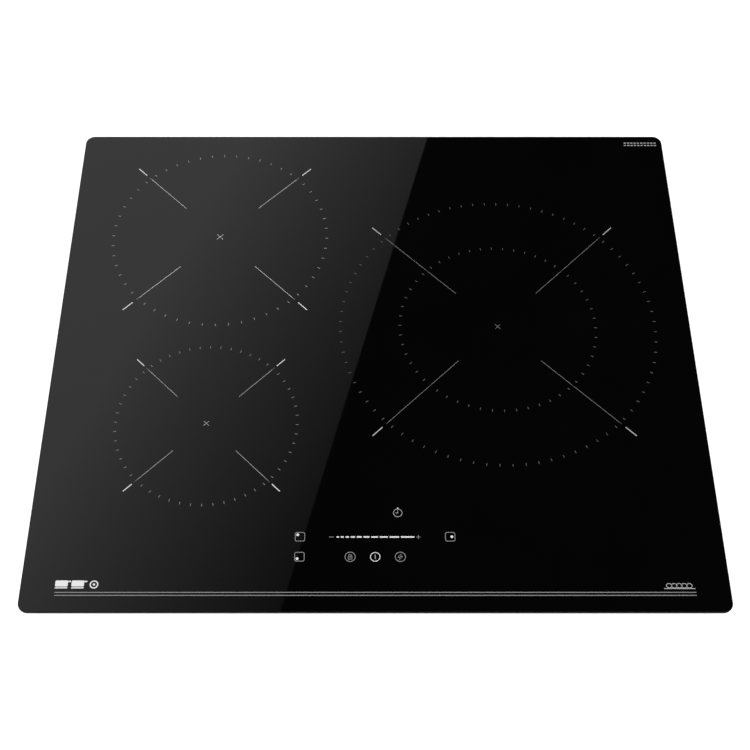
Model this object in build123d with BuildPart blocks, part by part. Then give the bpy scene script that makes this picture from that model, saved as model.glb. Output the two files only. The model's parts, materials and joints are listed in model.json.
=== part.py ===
from build123d import *
import os

# Built-in induction hob of the 60 cm class. Millimetres, +Z up, front towards -Y.
# The origin is the centre of the plate's outline, on the plane of the casing's stand-off pads.

# ---- Plate ----
PLATE_WIDTH = 590.0
PLATE_DEPTH = 520.0
PLATE_THICKNESS = 4.0
PLATE_CORNER_RADIUS = 9.0
PLATE_TOP_EDGE_RADIUS = 1.2
PLATE_BOTTOM_EDGE_RADIUS = 0.7
PLATE_TOP = 56.0
PLATE_BOTTOM = PLATE_TOP - PLATE_THICKNESS

# ---- Casing: sheet, pads, beads and air slots ----
CASING_WIDTH = 550.0
CASING_DEPTH = 480.0
SHEET = 0.8
CASING_CORNER_RADIUS = 6.0
CASING_BEND_RADIUS = 2.0
FLOOR_BOTTOM = 4.0
FLOOR_TOP = FLOOR_BOTTOM + SHEET
WALL_TOP = 50.0
INSIDE_X = CASING_WIDTH / 2 - SHEET
INSIDE_Y = CASING_DEPTH / 2 - SHEET
PAD_CENTRES = [(x, y) for x in (-235, 235) for y in (-205, 205)]
PAD_RADIUS = 12.0
PAD_TAPER = 30
BEAD_WIDTH = 14.0
BEAD_HEIGHT = 1.5
BEAD_TAPER = 40
FLOOR_BEADS = ((-60.0, 190.0, 300.0), (-60.0, 150.0, 300.0), (-20.0, -190.0, 340.0))
WALL_BEAD_Z = 24.0
SIDE_BEAD_LENGTH = 360.0
REAR_BEAD_X = -80.0
REAR_BEAD_LENGTH = 320.0
INLET_PITCH = 6.4
INLET_SLOT = 3.2
OUTLET_SLOTS = 34
OUTLET_PITCH = 7.0
OUTLET_SLOT = 3.4
OUTLET_HEIGHT = 20.0
OUTLET_Z = 22.0
FLOOR_OUTLET_Y = -222.0
FLOOR_OUTLET_LENGTH = 16.0

# ---- Cooking zones: centres and ring radii ----
REAR_LEFT = (-150.2, 129.3)
FRONT_LEFT = (-150.3, -80.8)
RIGHT = (115.2, 23.6)
REAR_LEFT_RING = 104.0
FRONT_LEFT_RING = 81.2
RIGHT_INNER_RING = 91.4
RIGHT_OUTER_RING = 147.0

# ---- Enamel prints of the zones and the front lines ----
PRINT_THICKNESS = 0.2
FINE_LINE = 0.32
BOLD_LINE = 0.85
TICK_LENGTH = 2.5
TICK_WIDTH = 0.55
HALF_RING_TICKS = 26
HALF_RING_PITCH = 360 / 53
HALF_RING_START = 50.1
WHOLE_RING_TICKS = 80
# Centre, half-ringed radius, whole-ringed radius, fine and bold stretch of the diagonals, arm of the cross.
ZONE_PRINTS = {
    "rear_left": (REAR_LEFT, REAR_LEFT_RING, None, (50.5, 106.0), (110.5, 122.7), 4.2),
    "front_left": (FRONT_LEFT, FRONT_LEFT_RING, None, (39.3, 83.0), (86.0, 96.0), 3.3),
    "right": (RIGHT, RIGHT_INNER_RING, RIGHT_OUTER_RING, (53.7, 148.5), (153.2, 165.7), 3.3),
}
FRONT_LINE_LENGTH = 531.4
FRONT_LINE_WIDTH = 0.7
FRONT_LINES_Y = (-242.3, -244.95)

# ---- Touch controls, as (x, y) on the plate ----
ZONE_KEYS = ((-63.75, -191.8), (-63.75, -210.2), (63.6, -191.8))
ZONE_KEY_DOTS = ((-65.7, -190.0), (-65.7, -212.0), (65.0, -191.8))
ZONE_KEY_SIZE = 8.8
ZONE_KEY_CORNER = 1.7
ZONE_KEY_DOT_RADIUS = 1.4
TIMER_KEY = (19.4, -169.2)
LOCK_KEY = (-21.1, -210.3)
POWER_KEY = (0.0, -210.3)
BOOST_KEY = (21.1, -210.3)
ROUND_KEY_RADIUS = 4.8
SYMBOL_LINE = 0.65
POWER_LINE = 0.9
ROUND_KEYS = (
    (TIMER_KEY, SYMBOL_LINE),
    (LOCK_KEY, SYMBOL_LINE),
    (POWER_KEY, POWER_LINE),
    (BOOST_KEY, SYMBOL_LINE),
)
# Strokes of the symbols from the centre of the key: x, y, width, height, turn.
SYMBOL_STROKES = (
    (TIMER_KEY, ((0, 1.15, 0.65, 3.0, 0), (-1.1, -0.3, 2.8, 0.65, 0), (0, 4.8, 1.6, 1.0, 0))),
    (LOCK_KEY, ((0, -0.8, 3.2, 2.4, 0),)),
    (POWER_KEY, ((0, 0, 0.9, 4.2, 0),)),
    (BOOST_KEY, ((-0.45, 0.2, 0.75, 3.2, -28), (0.45, -0.2, 0.75, 3.2, -28), (0, 0, 2.2, 0.75, 8))),
)
SHACKLE_RISE = 1.4
SHACKLE_OUTER = 2.6
SHACKLE_INNER = 1.5
SHACKLE_CORNER = 0.6
SLIDER_Y = -192.0
SLIDER_START = -33.0
SLIDER_FIRST = 2.6
SLIDER_GROWTH = 1.16
SLIDER_BARS = 9
SLIDER_LAST = 11.9
SLIDER_GAP = 1.0
SLIDER_HEIGHT = 1.7
SIGN_LINE = 0.5
MINUS_X = -37.1
MINUS_LENGTH = 4.2
PLUS_X = 36.6
PLUS_LENGTH = 3.4

# ---- Pictograms in three corners ----
PAN_MARK = (-248.2, -235.3)
PANS_X = (-12.5, 1.0)
PAN_SIZE = (10.5, 5.4)
PAN_LIFT = 0.9
PAN_HANDLE = (7.0, 2.7)
PAN_HANDLE_SIZE = (4.4, 1.3)
PAN_BASE_DROP = -3.0
PAN_BASE_HEIGHT = 1.0
RING_X = 14.5
RING_RADII = (3.6, 2.2, 1.0)
LOOP_MARK = (252.3, -236.6)
LOOPS = 5
LOOP_PITCH = 4.2
LOOP_OUTER = (2.75, 2.3)
LOOP_INNER = (2.05, 1.6)
LOOP_LIFT = 0.3
LOOP_LINE_DROP = -2.3
LOOP_LINE = (26.0, 0.6)
SQUARE_MARK = (272.5, 249.2)
SQUARE_GRID = (3.4, 3.2, 10, 2)
SQUARE_SIZE = (2.2, 1.1)

# ---- Foam seal between plate and worktop ----
SEAL_OUTSET = 11.0
SEAL_WIDTH = 8.0
SEAL_THICKNESS = 2.5
SEAL_INNER_CORNER = 2.0

# ---- Rails bonded under the plate, and the screws into them ----
RAIL_SHEET = 1.0
RAIL_TOP = PLATE_BOTTOM - 0.5
RAIL_BOTTOM = 38.0
RAIL_FLANGE = 16.0
END_RAIL_LENGTH = 520.0
SIDE_RAIL_LENGTH = 440.0
BEAD_OF_ADHESIVE = 8.0
ADHESIVE_INSET = 10.0
RAIL_SCREW_Z = 44.0
RAIL_SCREW_RADIUS = 1.6
END_SCREWS_X = (-200.0, 0.0, 200.0)
SIDE_SCREWS_Y = (-170.0, 0.0, 170.0)
SCREW_HEAD_RADIUS = 3.4
SCREW_HEAD_HEIGHT = 2.0
SCREW_CROWN = 1.1
SCREW_LENGTH = 6.0
CROSS_LENGTH = 3.4
CROSS_WIDTH = 0.8
CROSS_DEPTH = 1.0
THREAD_GAP = 0.05

# ---- Worktop clamps ----
CLAMPS = {"front_left": (-1, -1), "front_right": (1, -1), "rear_left": (-1, 1), "rear_right": (1, 1)}
CLAMP_X = 252.0
CLAMP_Y = 150.0
CLAMP_REACH = 52.0
CLAMP_TAIL = 9.0
CLAMP_WIDTH = 20.0
CLAMP_CORNER = 4.0
CLAMP_TOP = FLOOR_BOTTOM - 0.3
CLAMP_THICKNESS = 1.5
CLAMP_SCREW_RADIUS = 2.0
CLAMP_CLEARANCE = 0.2
CLAMP_END_HOLE = 2.5
CLAMP_END_HOLE_INSET = 10.0
CLAMP_RIB = (22.0, 6.0)
CLAMP_RIB_SHIFT = 1.0
CLAMP_RIB_HEIGHT = 0.8
CLAMP_RIB_TAPER = 35
CLAMP_HEAD_GAP = 0.15
CLAMP_HEAD_TOP = CLAMP_TOP - CLAMP_THICKNESS - CLAMP_HEAD_GAP
CLAMP_HEAD_RADIUS = 4.4
CLAMP_HEAD_HEIGHT = 1.7
CLAMP_HEAD_CHAMFER = 0.5
CLAMP_SCREW_LENGTH = 9.0
NUT_RADIUS = 4.6
NUT_HEIGHT = 4.0

# ---- Coil carriers: left, right, front and rear edges ----
LEFT_CARRIER = (-244.0, -38.0, -168.0, 222.0)
RIGHT_CARRIER = (-24.0, 240.0, -135.0, 182.0)
CARRIER_TOP = 36.0
CARRIER_SHEET = 1.2
CARRIER_CORNER = 4.0
LEG_INSET = 8.0
FOOT_DEPTH = 10.0
FOOT_SCREW_INSET = 20.0
FOOT_HOLE_RADIUS = 1.7
LEG_WINDOWS = 3
LEG_WINDOW_Z = 20.0
LEG_WINDOW_HEIGHT = 20.0
LEG_WINDOW_MARGIN = 20.0
LEG_WINDOW_BRIDGE = 14.0
LEG_WINDOW_CORNER = 3.0
CARRIER_HOLES = 6
CARRIER_HOLES_AT = 0.62
CARRIER_HOLE_SIZE = 0.17

# ---- Coil stacks ----
COIL_BASE_BOTTOM = 42.5
COIL_BASE_THICKNESS = 1.5
FERRITE_HEIGHT = 3.0
FERRITE_WIDTH = 9.0
FERRITE_INSET = 2.0
FERRITES_PER_ZONE = 8
LITZ_DIAMETER = 4.4
LITZ_SIDES = 8
TURN_BITE = 0.35
WINDING_GAP = 0.05
WINDING_BOTTOM = COIL_BASE_BOTTOM + COIL_BASE_THICKNESS + FERRITE_HEIGHT + WINDING_GAP
MICA_THICKNESS = 0.5
MICA_BOTTOM = PLATE_BOTTOM - MICA_THICKNESS
MICA_RIM = 1.0
COIL_HOLE_RADIUS = 16.0
REAR_LEFT_COIL = 88.0
FRONT_LEFT_COIL = 70.0
RIGHT_INNER_COIL = 84.0
RIGHT_OUTER_COIL_FROM = 96.0
RIGHT_OUTER_COIL = 138.0
COIL_RIM = 3.0
BASE_SLOT_WIDTH = 7.0
BASE_SLOT_MARGIN = 20.0
BASE_SLOT_SHIFT = 4.0
SENSOR_RADIUS = 4.0
SENSOR_GAP = 0.3
SENSOR_FLANGE = 3.0
SENSOR_FLANGE_HEIGHT = 1.2
SPRING_GAP = 0.1
COIL_SPRING_RADIUS = 4.0
COIL_SPRING_WIRE = 0.9
COIL_SPRING_TURNS = 2.5
COIL_SPRINGS_PER_ZONE = 3
COIL_SPRING_CIRCLES = ((REAR_LEFT, 60.0), (FRONT_LEFT, 46.0), (RIGHT, 100.0))

# ---- Power board and its tray ----
BOARD = (-105.0, -10.0)
BOARD_SIZE = (270.0, 200.0)
BOARD_BOTTOM = 9.0
BOARD_THICKNESS = 1.6
BOARD_TOP = BOARD_BOTTOM + BOARD_THICKNESS
BOARD_CORNER = 3.0
BOSS_INSET = 10.0
BOSS_RADIUS = 3.5
BOSS_HOLE_RADIUS = 1.7
BOSS_HOLE_DEPTH = 3.0
TRAY_SIZE = (282.0, 212.0)
TRAY_TOP = 7.0
TRAY_WALL = 1.5
TRAY_FLOOR = 1.4
TRAY_CORNER = 4.0
HEAT_SINK = (-30.0, -62.0)
HEAT_SINK_SIZE = (108.0, 52.0)
HEAT_SINK_BASE = 5.0
HEAT_SINK_TOP = 33.0
FIN_COUNT = 11
FIN_THICKNESS = 1.4
TRANSISTORS = 4
TRANSISTOR_PITCH = 24.0
TRANSISTOR_SIZE = (15.6, 5.0)
TRANSISTOR_HEIGHT = 16.0
TRANSISTOR_LEADS = 3
LEAD_PITCH = 5.4
LEAD_SIZE = (1.2, 0.6)
LEAD_HEIGHT = 4.0
CAPACITOR_HEIGHT = 22.0
CAPACITOR_CORNER = 1.0
CAPACITOR_EDGE = 0.8
RESONANCE_AT = (-150.0, 20.0)
RESONANCE_COUNT = 4
RESONANCE_PITCH = 22.0
RESONANCE_SIZE = (32.0, 15.0)
SMOOTHING_AT = (-20.0, 40.0)
SMOOTHING_COUNT = 2
SMOOTHING_PITCH = 30.0
SMOOTHING_SIZE = (22.0, 42.0)
CHOKE = (-80.0, 45.0)
CHOKE_RING_RADIUS = 13.0
CHOKE_SECTION = (8.0, 16.0)
CHOKE_SECTION_CORNER = 3.0
CHOKE_MIDDLE = BOARD_TOP + 11.0
CHOKE_FOOT_RADIUS = 15.0
CHOKE_FOOT_HOLE = 6.0
CHOKE_FOOT_HEIGHT = 5.0
CONNECTORS_AT = (-215.0, -10.0)
CONNECTORS = 4
CONNECTOR_PITCH = 40.0
CONNECTOR_SIZE = (12.0, 26.0)
CONNECTOR_HEIGHT = 12.0
CONNECTOR_SOCKET = (6.0, 22.0)
CONNECTOR_SOCKET_SHIFT = 1.5
CONNECTOR_FLOOR = 1.5

# ---- Cooling fan ----
FAN = (140.0, -40.0)
FAN_BODY_RADIUS = 58.0
FAN_TOP = 33.0
FAN_WALL = 1.6
FAN_OUTLET_LENGTH = 80.0
FAN_OUTLET_WIDTH = 54.0
FAN_INLET_RADIUS = 39.0
FAN_LUGS = 3
FAN_LUG_RADIUS = 5.0
FAN_LUG_REACH = 3.5
FAN_LUG_START = 35
FAN_LUG_HEIGHT = 3.0
FAN_LUG_HOLE = 1.7
SHAFT_RADIUS = 1.5
SHAFT_CLEARANCE = 0.06
SHAFT_END_GAP = 0.3
HUB_RADIUS = 17.0
HUB_LIFT = 4.0
HUB_CHAMFER = 1.5
HUB_SKIN = 2.0
ROTOR_RADIUS = 48.0
ROTOR_BOTTOM = FLOOR_TOP + FAN_WALL + 1.0
ROTOR_PLATE_Z = FAN_TOP - FAN_WALL - 3.0
ROTOR_PLATE = 1.4
ROTOR_RING = 1.2
ROTOR_BLADES = 32
BLADE_CHORD = 10.0
BLADE_THICKNESS = 1.1
BLADE_ANGLE = 32.0
BLADE_LIFT = 1.0

# ---- Screws into the casing floor and the board tray ----
BASE_SCREW_RADIUS = 1.6
BASE_SCREW_HEAD_RADIUS = 3.0
BASE_SCREW_HEAD_HEIGHT = 1.8

# ---- Touch board, its holder and the ribbon cable ----
HOLDER = (0.0, -190.0)
HOLDER_SIZE = (176.0, 60.0)
HOLDER_BOTTOM = 40.5
HOLDER_TOP = 50.3
HOLDER_FLOOR = 1.5
HOLDER_WALL = 2.0
HOLDER_CORNER = 4.0
HOLDER_BOSS_RADIUS = 2.5
HOLDER_BOSS_INSETS = (12.0, 10.0)
HOLDER_LEG = (10.0, 14.0)
HOLDER_LEG_CORNER = 2.0
TOUCH_BOARD_BOTTOM = 43.0
TOUCH_BOARD_TOP = TOUCH_BOARD_BOTTOM + BOARD_THICKNESS
TOUCH_BOARD_GAP = 0.5
KEY_SPRING_RADIUS = 3.4
KEY_SPRING_WIRE = 0.6
KEY_SPRING_TURNS = 3
ELECTRODE_SIZE = (70.0, 6.0)
ELECTRODE_CORNER = 1.0
LIGHTS = ((-40, -178), (-20, -178), (46, -178), (-40, -204), (46, -204))
LIGHT_SIZE = (3.2, 2.6)
LIGHT_HEIGHT = 1.8
RIBBON_X = -31.0
RIBBON_WIDTH = 11.0
RIBBON_THICKNESS = 1.0
RIBBON_BEND = 6.0
RIBBON_NOTCH_GAP = 1.0
RIBBON_STARTS_Y = -168.0
RIBBON_FALLS_Y = -152.0
RIBBON_LANDS_Y = -132.0
RIBBON_ENDS_Y = -100.0

# ---- Terminal box on the rear wall ----
TERMINAL_X = 198.0
TERMINAL_WIDTH = 104.0
TERMINAL_FRONT_Y = 196.0
TERMINAL_REAR_Y = INSIDE_Y
TERMINAL_TOP = 36.8
TERMINAL_WALL = 2.0
TERMINAL_MOUTH_RISE = 2.0
TERMINAL_MOUTH_HEIGHT = 22.0
TERMINAL_MOUTH_INSET = 2.0
FOOT_CHAMFER = CASING_BEND_RADIUS - SHEET + 0.2
COVER_CENTRE_X = 184.0
COVER_WIDTH = 62.0
COVER_BOTTOM = 7.5
COVER_THICKNESS = 2.0
COVER_CORNER = 1.5
COVER_GAP = 0.4
COVER_RIBS = 3
COVER_RIB_PITCH = 4.0
COVER_RIB_RISE = 10.0
COVER_RIB_INSET = 8.0
COVER_RIB_WIDTH = 0.9
COVER_LIP = (20.0, 1.6)
COVER_LIP_RISE = 1.5
COVER_RELIEF = 1.2
HINGE_Y = CASING_DEPTH / 2 + 2.6
HINGE_Z = 32.0
HINGE_BARREL_RADIUS = 2.2
HINGE_PIN_RADIUS = 1.4
HINGE_CLEARANCE = 0.08
HINGE_LUG = 3.0
MOUTH_MARGIN = 1.0
MOUTH_HEIGHT = 28.0
BLOCK = (COVER_CENTRE_X, 208.0)
BLOCK_SIZE = (56.0, 15.0)
BLOCK_BOTTOM = FLOOR_TOP + TERMINAL_WALL
BLOCK_HEIGHT = 16.0
BLOCK_TOP = BLOCK_BOTTOM + BLOCK_HEIGHT
BLOCK_POLES = 5
BLOCK_PITCH = 11.0
WELL_RADIUS = 3.0
WELL_DEPTH = 8.0
WIRE_ENTRY = (6.0, 5.0)
WIRE_ENTRY_RISE = 5.0
WIRE_ENTRY_DEPTH = 9.0
WIRE_ENTRY_CORNER = 1.0
TERMINAL_SCREW_RADIUS = 2.7
TERMINAL_SCREW_HEIGHT = 5.0
TERMINAL_SLOT = (5.4, 0.9)
TERMINAL_SLOT_DEPTH = 1.2
CABLE_INLET_X = 234.0
CABLE_INLET_Z = 20.0
CABLE_INLET_RADIUS = 6.5
BUSH_RADIUS = 9.0
BUSH_GAP = 0.1
BUSH_FLANGE_RADIUS = 11.0
BUSH_FLANGE = 2.5
BUSH_EDGE = 1.5
BUSH_START_Y = TERMINAL_REAR_Y - TERMINAL_WALL - 2.0
BUSH_END_Y = CASING_DEPTH / 2 + 8.0


# ---- Planes and small helpers ----
def level(z, centre=(0.0, 0.0)):
    """A horizontal plane at height z with its origin over centre."""
    return Plane(origin=(centre[0], centre[1], z), x_dir=(1, 0, 0), z_dir=(0, 0, 1))


def front_wall(z=0.0, x=0.0, y=-CASING_DEPTH / 2):
    """A plane that looks out of the front wall."""
    return Plane(origin=(x, y, z), x_dir=(1, 0, 0), z_dir=(0, -1, 0))


def rear_wall(z=0.0, x=0.0, y=CASING_DEPTH / 2):
    """A plane that looks out of the rear wall."""
    return Plane(origin=(x, y, z), x_dir=(-1, 0, 0), z_dir=(0, 1, 0))


def side_wall(side, z=0.0, y=0.0, x=CASING_WIDTH / 2):
    """A plane that looks out of the right (side = 1) or left (side = -1) wall."""
    return Plane(origin=(side * x, y, z), x_dir=(0, side, 0), z_dir=(side, 0, 0))


def finish(piece, name):
    """Labels a finished piece and writes its file."""
    piece.part.label = name
    export_step(piece.part, f"parts/{name}.step")


os.makedirs("parts", exist_ok=True)

# ---- Glass-ceramic plate ----
with BuildPart() as glass_plate:
    with BuildSketch(level(PLATE_BOTTOM)):
        RectangleRounded(PLATE_WIDTH, PLATE_DEPTH, PLATE_CORNER_RADIUS)
    extrude(amount=PLATE_THICKNESS)
    fillet(glass_plate.faces().sort_by(Axis.Z)[-1].edges(), PLATE_TOP_EDGE_RADIUS)
    fillet(glass_plate.faces().sort_by(Axis.Z)[0].edges(), PLATE_BOTTOM_EDGE_RADIUS)
finish(glass_plate, "glass_plate")


# ---- Zone prints ----
def zone_print(centre, half_ring, whole_ring, fine, bold, cross):
    """Dashed rings, four diagonals with a bold outer stretch, and a cross at the centre."""
    with BuildPart() as zone:
        with BuildSketch(level(PLATE_TOP, centre)):
            for start in (HALF_RING_START, HALF_RING_START + 180):
                with PolarLocations(half_ring, HALF_RING_TICKS, start, HALF_RING_TICKS * HALF_RING_PITCH):
                    Rectangle(TICK_LENGTH, TICK_WIDTH)
            if whole_ring:
                with PolarLocations(whole_ring, WHOLE_RING_TICKS, 180 / WHOLE_RING_TICKS):
                    Rectangle(TICK_LENGTH, TICK_WIDTH)
            for (inner, outer), width in ((fine, FINE_LINE), (bold, BOLD_LINE)):
                with PolarLocations((inner + outer) / 2, 4, 45):
                    Rectangle(outer - inner, width)
            for angle in (45, 135):
                Rectangle(2 * cross, FINE_LINE, rotation=angle)
        extrude(amount=PRINT_THICKNESS)
    return zone


for zone, drawn in ZONE_PRINTS.items():
    finish(zone_print(*drawn), f"{zone}_zone_print")

# ---- Two lines along the front edge ----
with BuildPart() as front_lines_print:
    with BuildSketch(level(PLATE_TOP)):
        with Locations(*[(0, y) for y in FRONT_LINES_Y]):
            Rectangle(FRONT_LINE_LENGTH, FRONT_LINE_WIDTH)
    extrude(amount=PRINT_THICKNESS)
finish(front_lines_print, "front_lines_print")

# ---- Key symbols ----
with BuildPart() as key_symbols_print:
    with BuildSketch(level(PLATE_TOP)):
        inner_size = ZONE_KEY_SIZE - 2 * SYMBOL_LINE
        with Locations(*ZONE_KEYS):
            RectangleRounded(ZONE_KEY_SIZE, ZONE_KEY_SIZE, ZONE_KEY_CORNER)
            RectangleRounded(inner_size, inner_size, ZONE_KEY_CORNER - SYMBOL_LINE, mode=Mode.SUBTRACT)
        with Locations(*ZONE_KEY_DOTS):
            Circle(ZONE_KEY_DOT_RADIUS)
        for key, line in ROUND_KEYS:
            with Locations(key):
                Circle(ROUND_KEY_RADIUS)
                Circle(ROUND_KEY_RADIUS - line, mode=Mode.SUBTRACT)
        for key, strokes in SYMBOL_STROKES:
            for x, y, width, height, turn in strokes:
                with Locations((key[0] + x, key[1] + y)):
                    Rectangle(width, height, rotation=turn)
        with Locations((LOCK_KEY[0], LOCK_KEY[1] + SHACKLE_RISE)):
            RectangleRounded(SHACKLE_OUTER, SHACKLE_OUTER, SHACKLE_OUTER / 2 - THREAD_GAP)
            RectangleRounded(SHACKLE_INNER, SHACKLE_INNER, SHACKLE_CORNER, mode=Mode.SUBTRACT)
    extrude(amount=PRINT_THICKNESS)
finish(key_symbols_print, "key_symbols_print")

# ---- Power slider: bars that grow to the right, with a minus and a plus ----
with BuildPart() as slider_print:
    with BuildSketch(level(PLATE_TOP, (0, SLIDER_Y))):
        left = SLIDER_START
        bars = [SLIDER_FIRST * SLIDER_GROWTH**step for step in range(SLIDER_BARS)] + [SLIDER_LAST]
        for bar in bars:
            with Locations((left + bar / 2, 0)):
                Rectangle(bar, SLIDER_HEIGHT)
            left += bar + SLIDER_GAP
        with Locations((MINUS_X, 0)):
            Rectangle(MINUS_LENGTH, SIGN_LINE)
        with Locations((PLUS_X, 0)):
            Rectangle(PLUS_LENGTH, SIGN_LINE)
            Rectangle(SIGN_LINE, PLUS_LENGTH)
    extrude(amount=PRINT_THICKNESS)
finish(slider_print, "slider_print")

# ---- Pictograms in three corners: two pans and a ring, coil loops, and a row of small squares ----
with BuildPart() as corner_marks_print:
    with BuildSketch(level(PLATE_TOP, PAN_MARK)):
        for x in PANS_X:
            with Locations((x, PAN_LIFT)):
                RectangleRounded(*PAN_SIZE, PAN_BASE_HEIGHT)
            with Locations((x + PAN_HANDLE[0], PAN_HANDLE[1])):
                Rectangle(*PAN_HANDLE_SIZE)
            with Locations((x, PAN_BASE_DROP)):
                Rectangle(PAN_SIZE[0], PAN_BASE_HEIGHT)
        with Locations((RING_X, 0)):
            Circle(RING_RADII[0])
            Circle(RING_RADII[1], mode=Mode.SUBTRACT)
            Circle(RING_RADII[2])
    with BuildSketch(level(PLATE_TOP, LOOP_MARK)):
        with Locations((0, LOOP_LIFT)):
            with GridLocations(LOOP_PITCH, 0, LOOPS, 1):
                Ellipse(*LOOP_OUTER)
                Ellipse(*LOOP_INNER, mode=Mode.SUBTRACT)
        with Locations((0, LOOP_LINE_DROP)):
            Rectangle(*LOOP_LINE)
    with BuildSketch(level(PLATE_TOP, SQUARE_MARK)):
        with GridLocations(*SQUARE_GRID):
            Rectangle(*SQUARE_SIZE)
    extrude(amount=PRINT_THICKNESS)
finish(corner_marks_print, "corner_marks_print")

# ---- Foam seal between plate and worktop ----
with BuildPart() as worktop_seal:
    with BuildSketch(level(PLATE_BOTTOM - SEAL_THICKNESS)):
        seal_width = CASING_WIDTH + 2 * SEAL_OUTSET + SEAL_WIDTH
        seal_depth = CASING_DEPTH + 2 * SEAL_OUTSET + SEAL_WIDTH
        RectangleRounded(seal_width, seal_depth, PLATE_CORNER_RADIUS)
        hole = (seal_width - 2 * SEAL_WIDTH, seal_depth - 2 * SEAL_WIDTH)
        RectangleRounded(*hole, SEAL_INNER_CORNER, mode=Mode.SUBTRACT)
    extrude(amount=SEAL_THICKNESS)
finish(worktop_seal, "worktop_seal")


# ---- Rails: angle sections bonded to the plate and screwed to the casing ----
def rail(plane, length, screws):
    """An angle section: leg against the wall, flange turned inwards under the plate."""
    with BuildPart() as angle:
        with BuildSketch(plane):
            with Locations((0, RAIL_BOTTOM)):
                Rectangle(length, RAIL_TOP - RAIL_BOTTOM, align=(Align.CENTER, Align.MIN))
            with Locations(*[(place, RAIL_SCREW_Z) for place in screws]):
                Circle(RAIL_SCREW_RADIUS, mode=Mode.SUBTRACT)
        extrude(amount=-RAIL_SHEET)
        with BuildSketch(plane):
            with Locations((0, RAIL_TOP)):
                Rectangle(length, RAIL_SHEET, align=(Align.CENTER, Align.MAX))
        extrude(amount=-RAIL_FLANGE)
    return angle


with BuildPart() as end_rails:
    add(rail(front_wall(y=-INSIDE_Y), END_RAIL_LENGTH, END_SCREWS_X).part)
    add(rail(rear_wall(y=INSIDE_Y), END_RAIL_LENGTH, END_SCREWS_X).part)
finish(end_rails, "end_rails")

with BuildPart() as side_rails:
    add(rail(side_wall(-1, x=INSIDE_X), SIDE_RAIL_LENGTH, SIDE_SCREWS_Y).part)
    add(rail(side_wall(1, x=INSIDE_X), SIDE_RAIL_LENGTH, SIDE_SCREWS_Y).part)
finish(side_rails, "side_rails")

# ---- Adhesive between the rails and the plate ----
with BuildPart() as adhesive_beads:
    with BuildSketch(level(RAIL_TOP)):
        bead_y = INSIDE_Y - RAIL_FLANGE / 2
        bead_x = INSIDE_X - RAIL_FLANGE / 2
        with Locations((0, -bead_y), (0, bead_y)):
            SlotOverall(END_RAIL_LENGTH - 2 * ADHESIVE_INSET, BEAD_OF_ADHESIVE)
        with Locations((-bead_x, 0), (bead_x, 0)):
            SlotOverall(SIDE_RAIL_LENGTH - 2 * ADHESIVE_INSET, BEAD_OF_ADHESIVE, rotation=90)
    extrude(amount=PLATE_BOTTOM - RAIL_TOP)
finish(adhesive_beads, "adhesive_beads")

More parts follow.
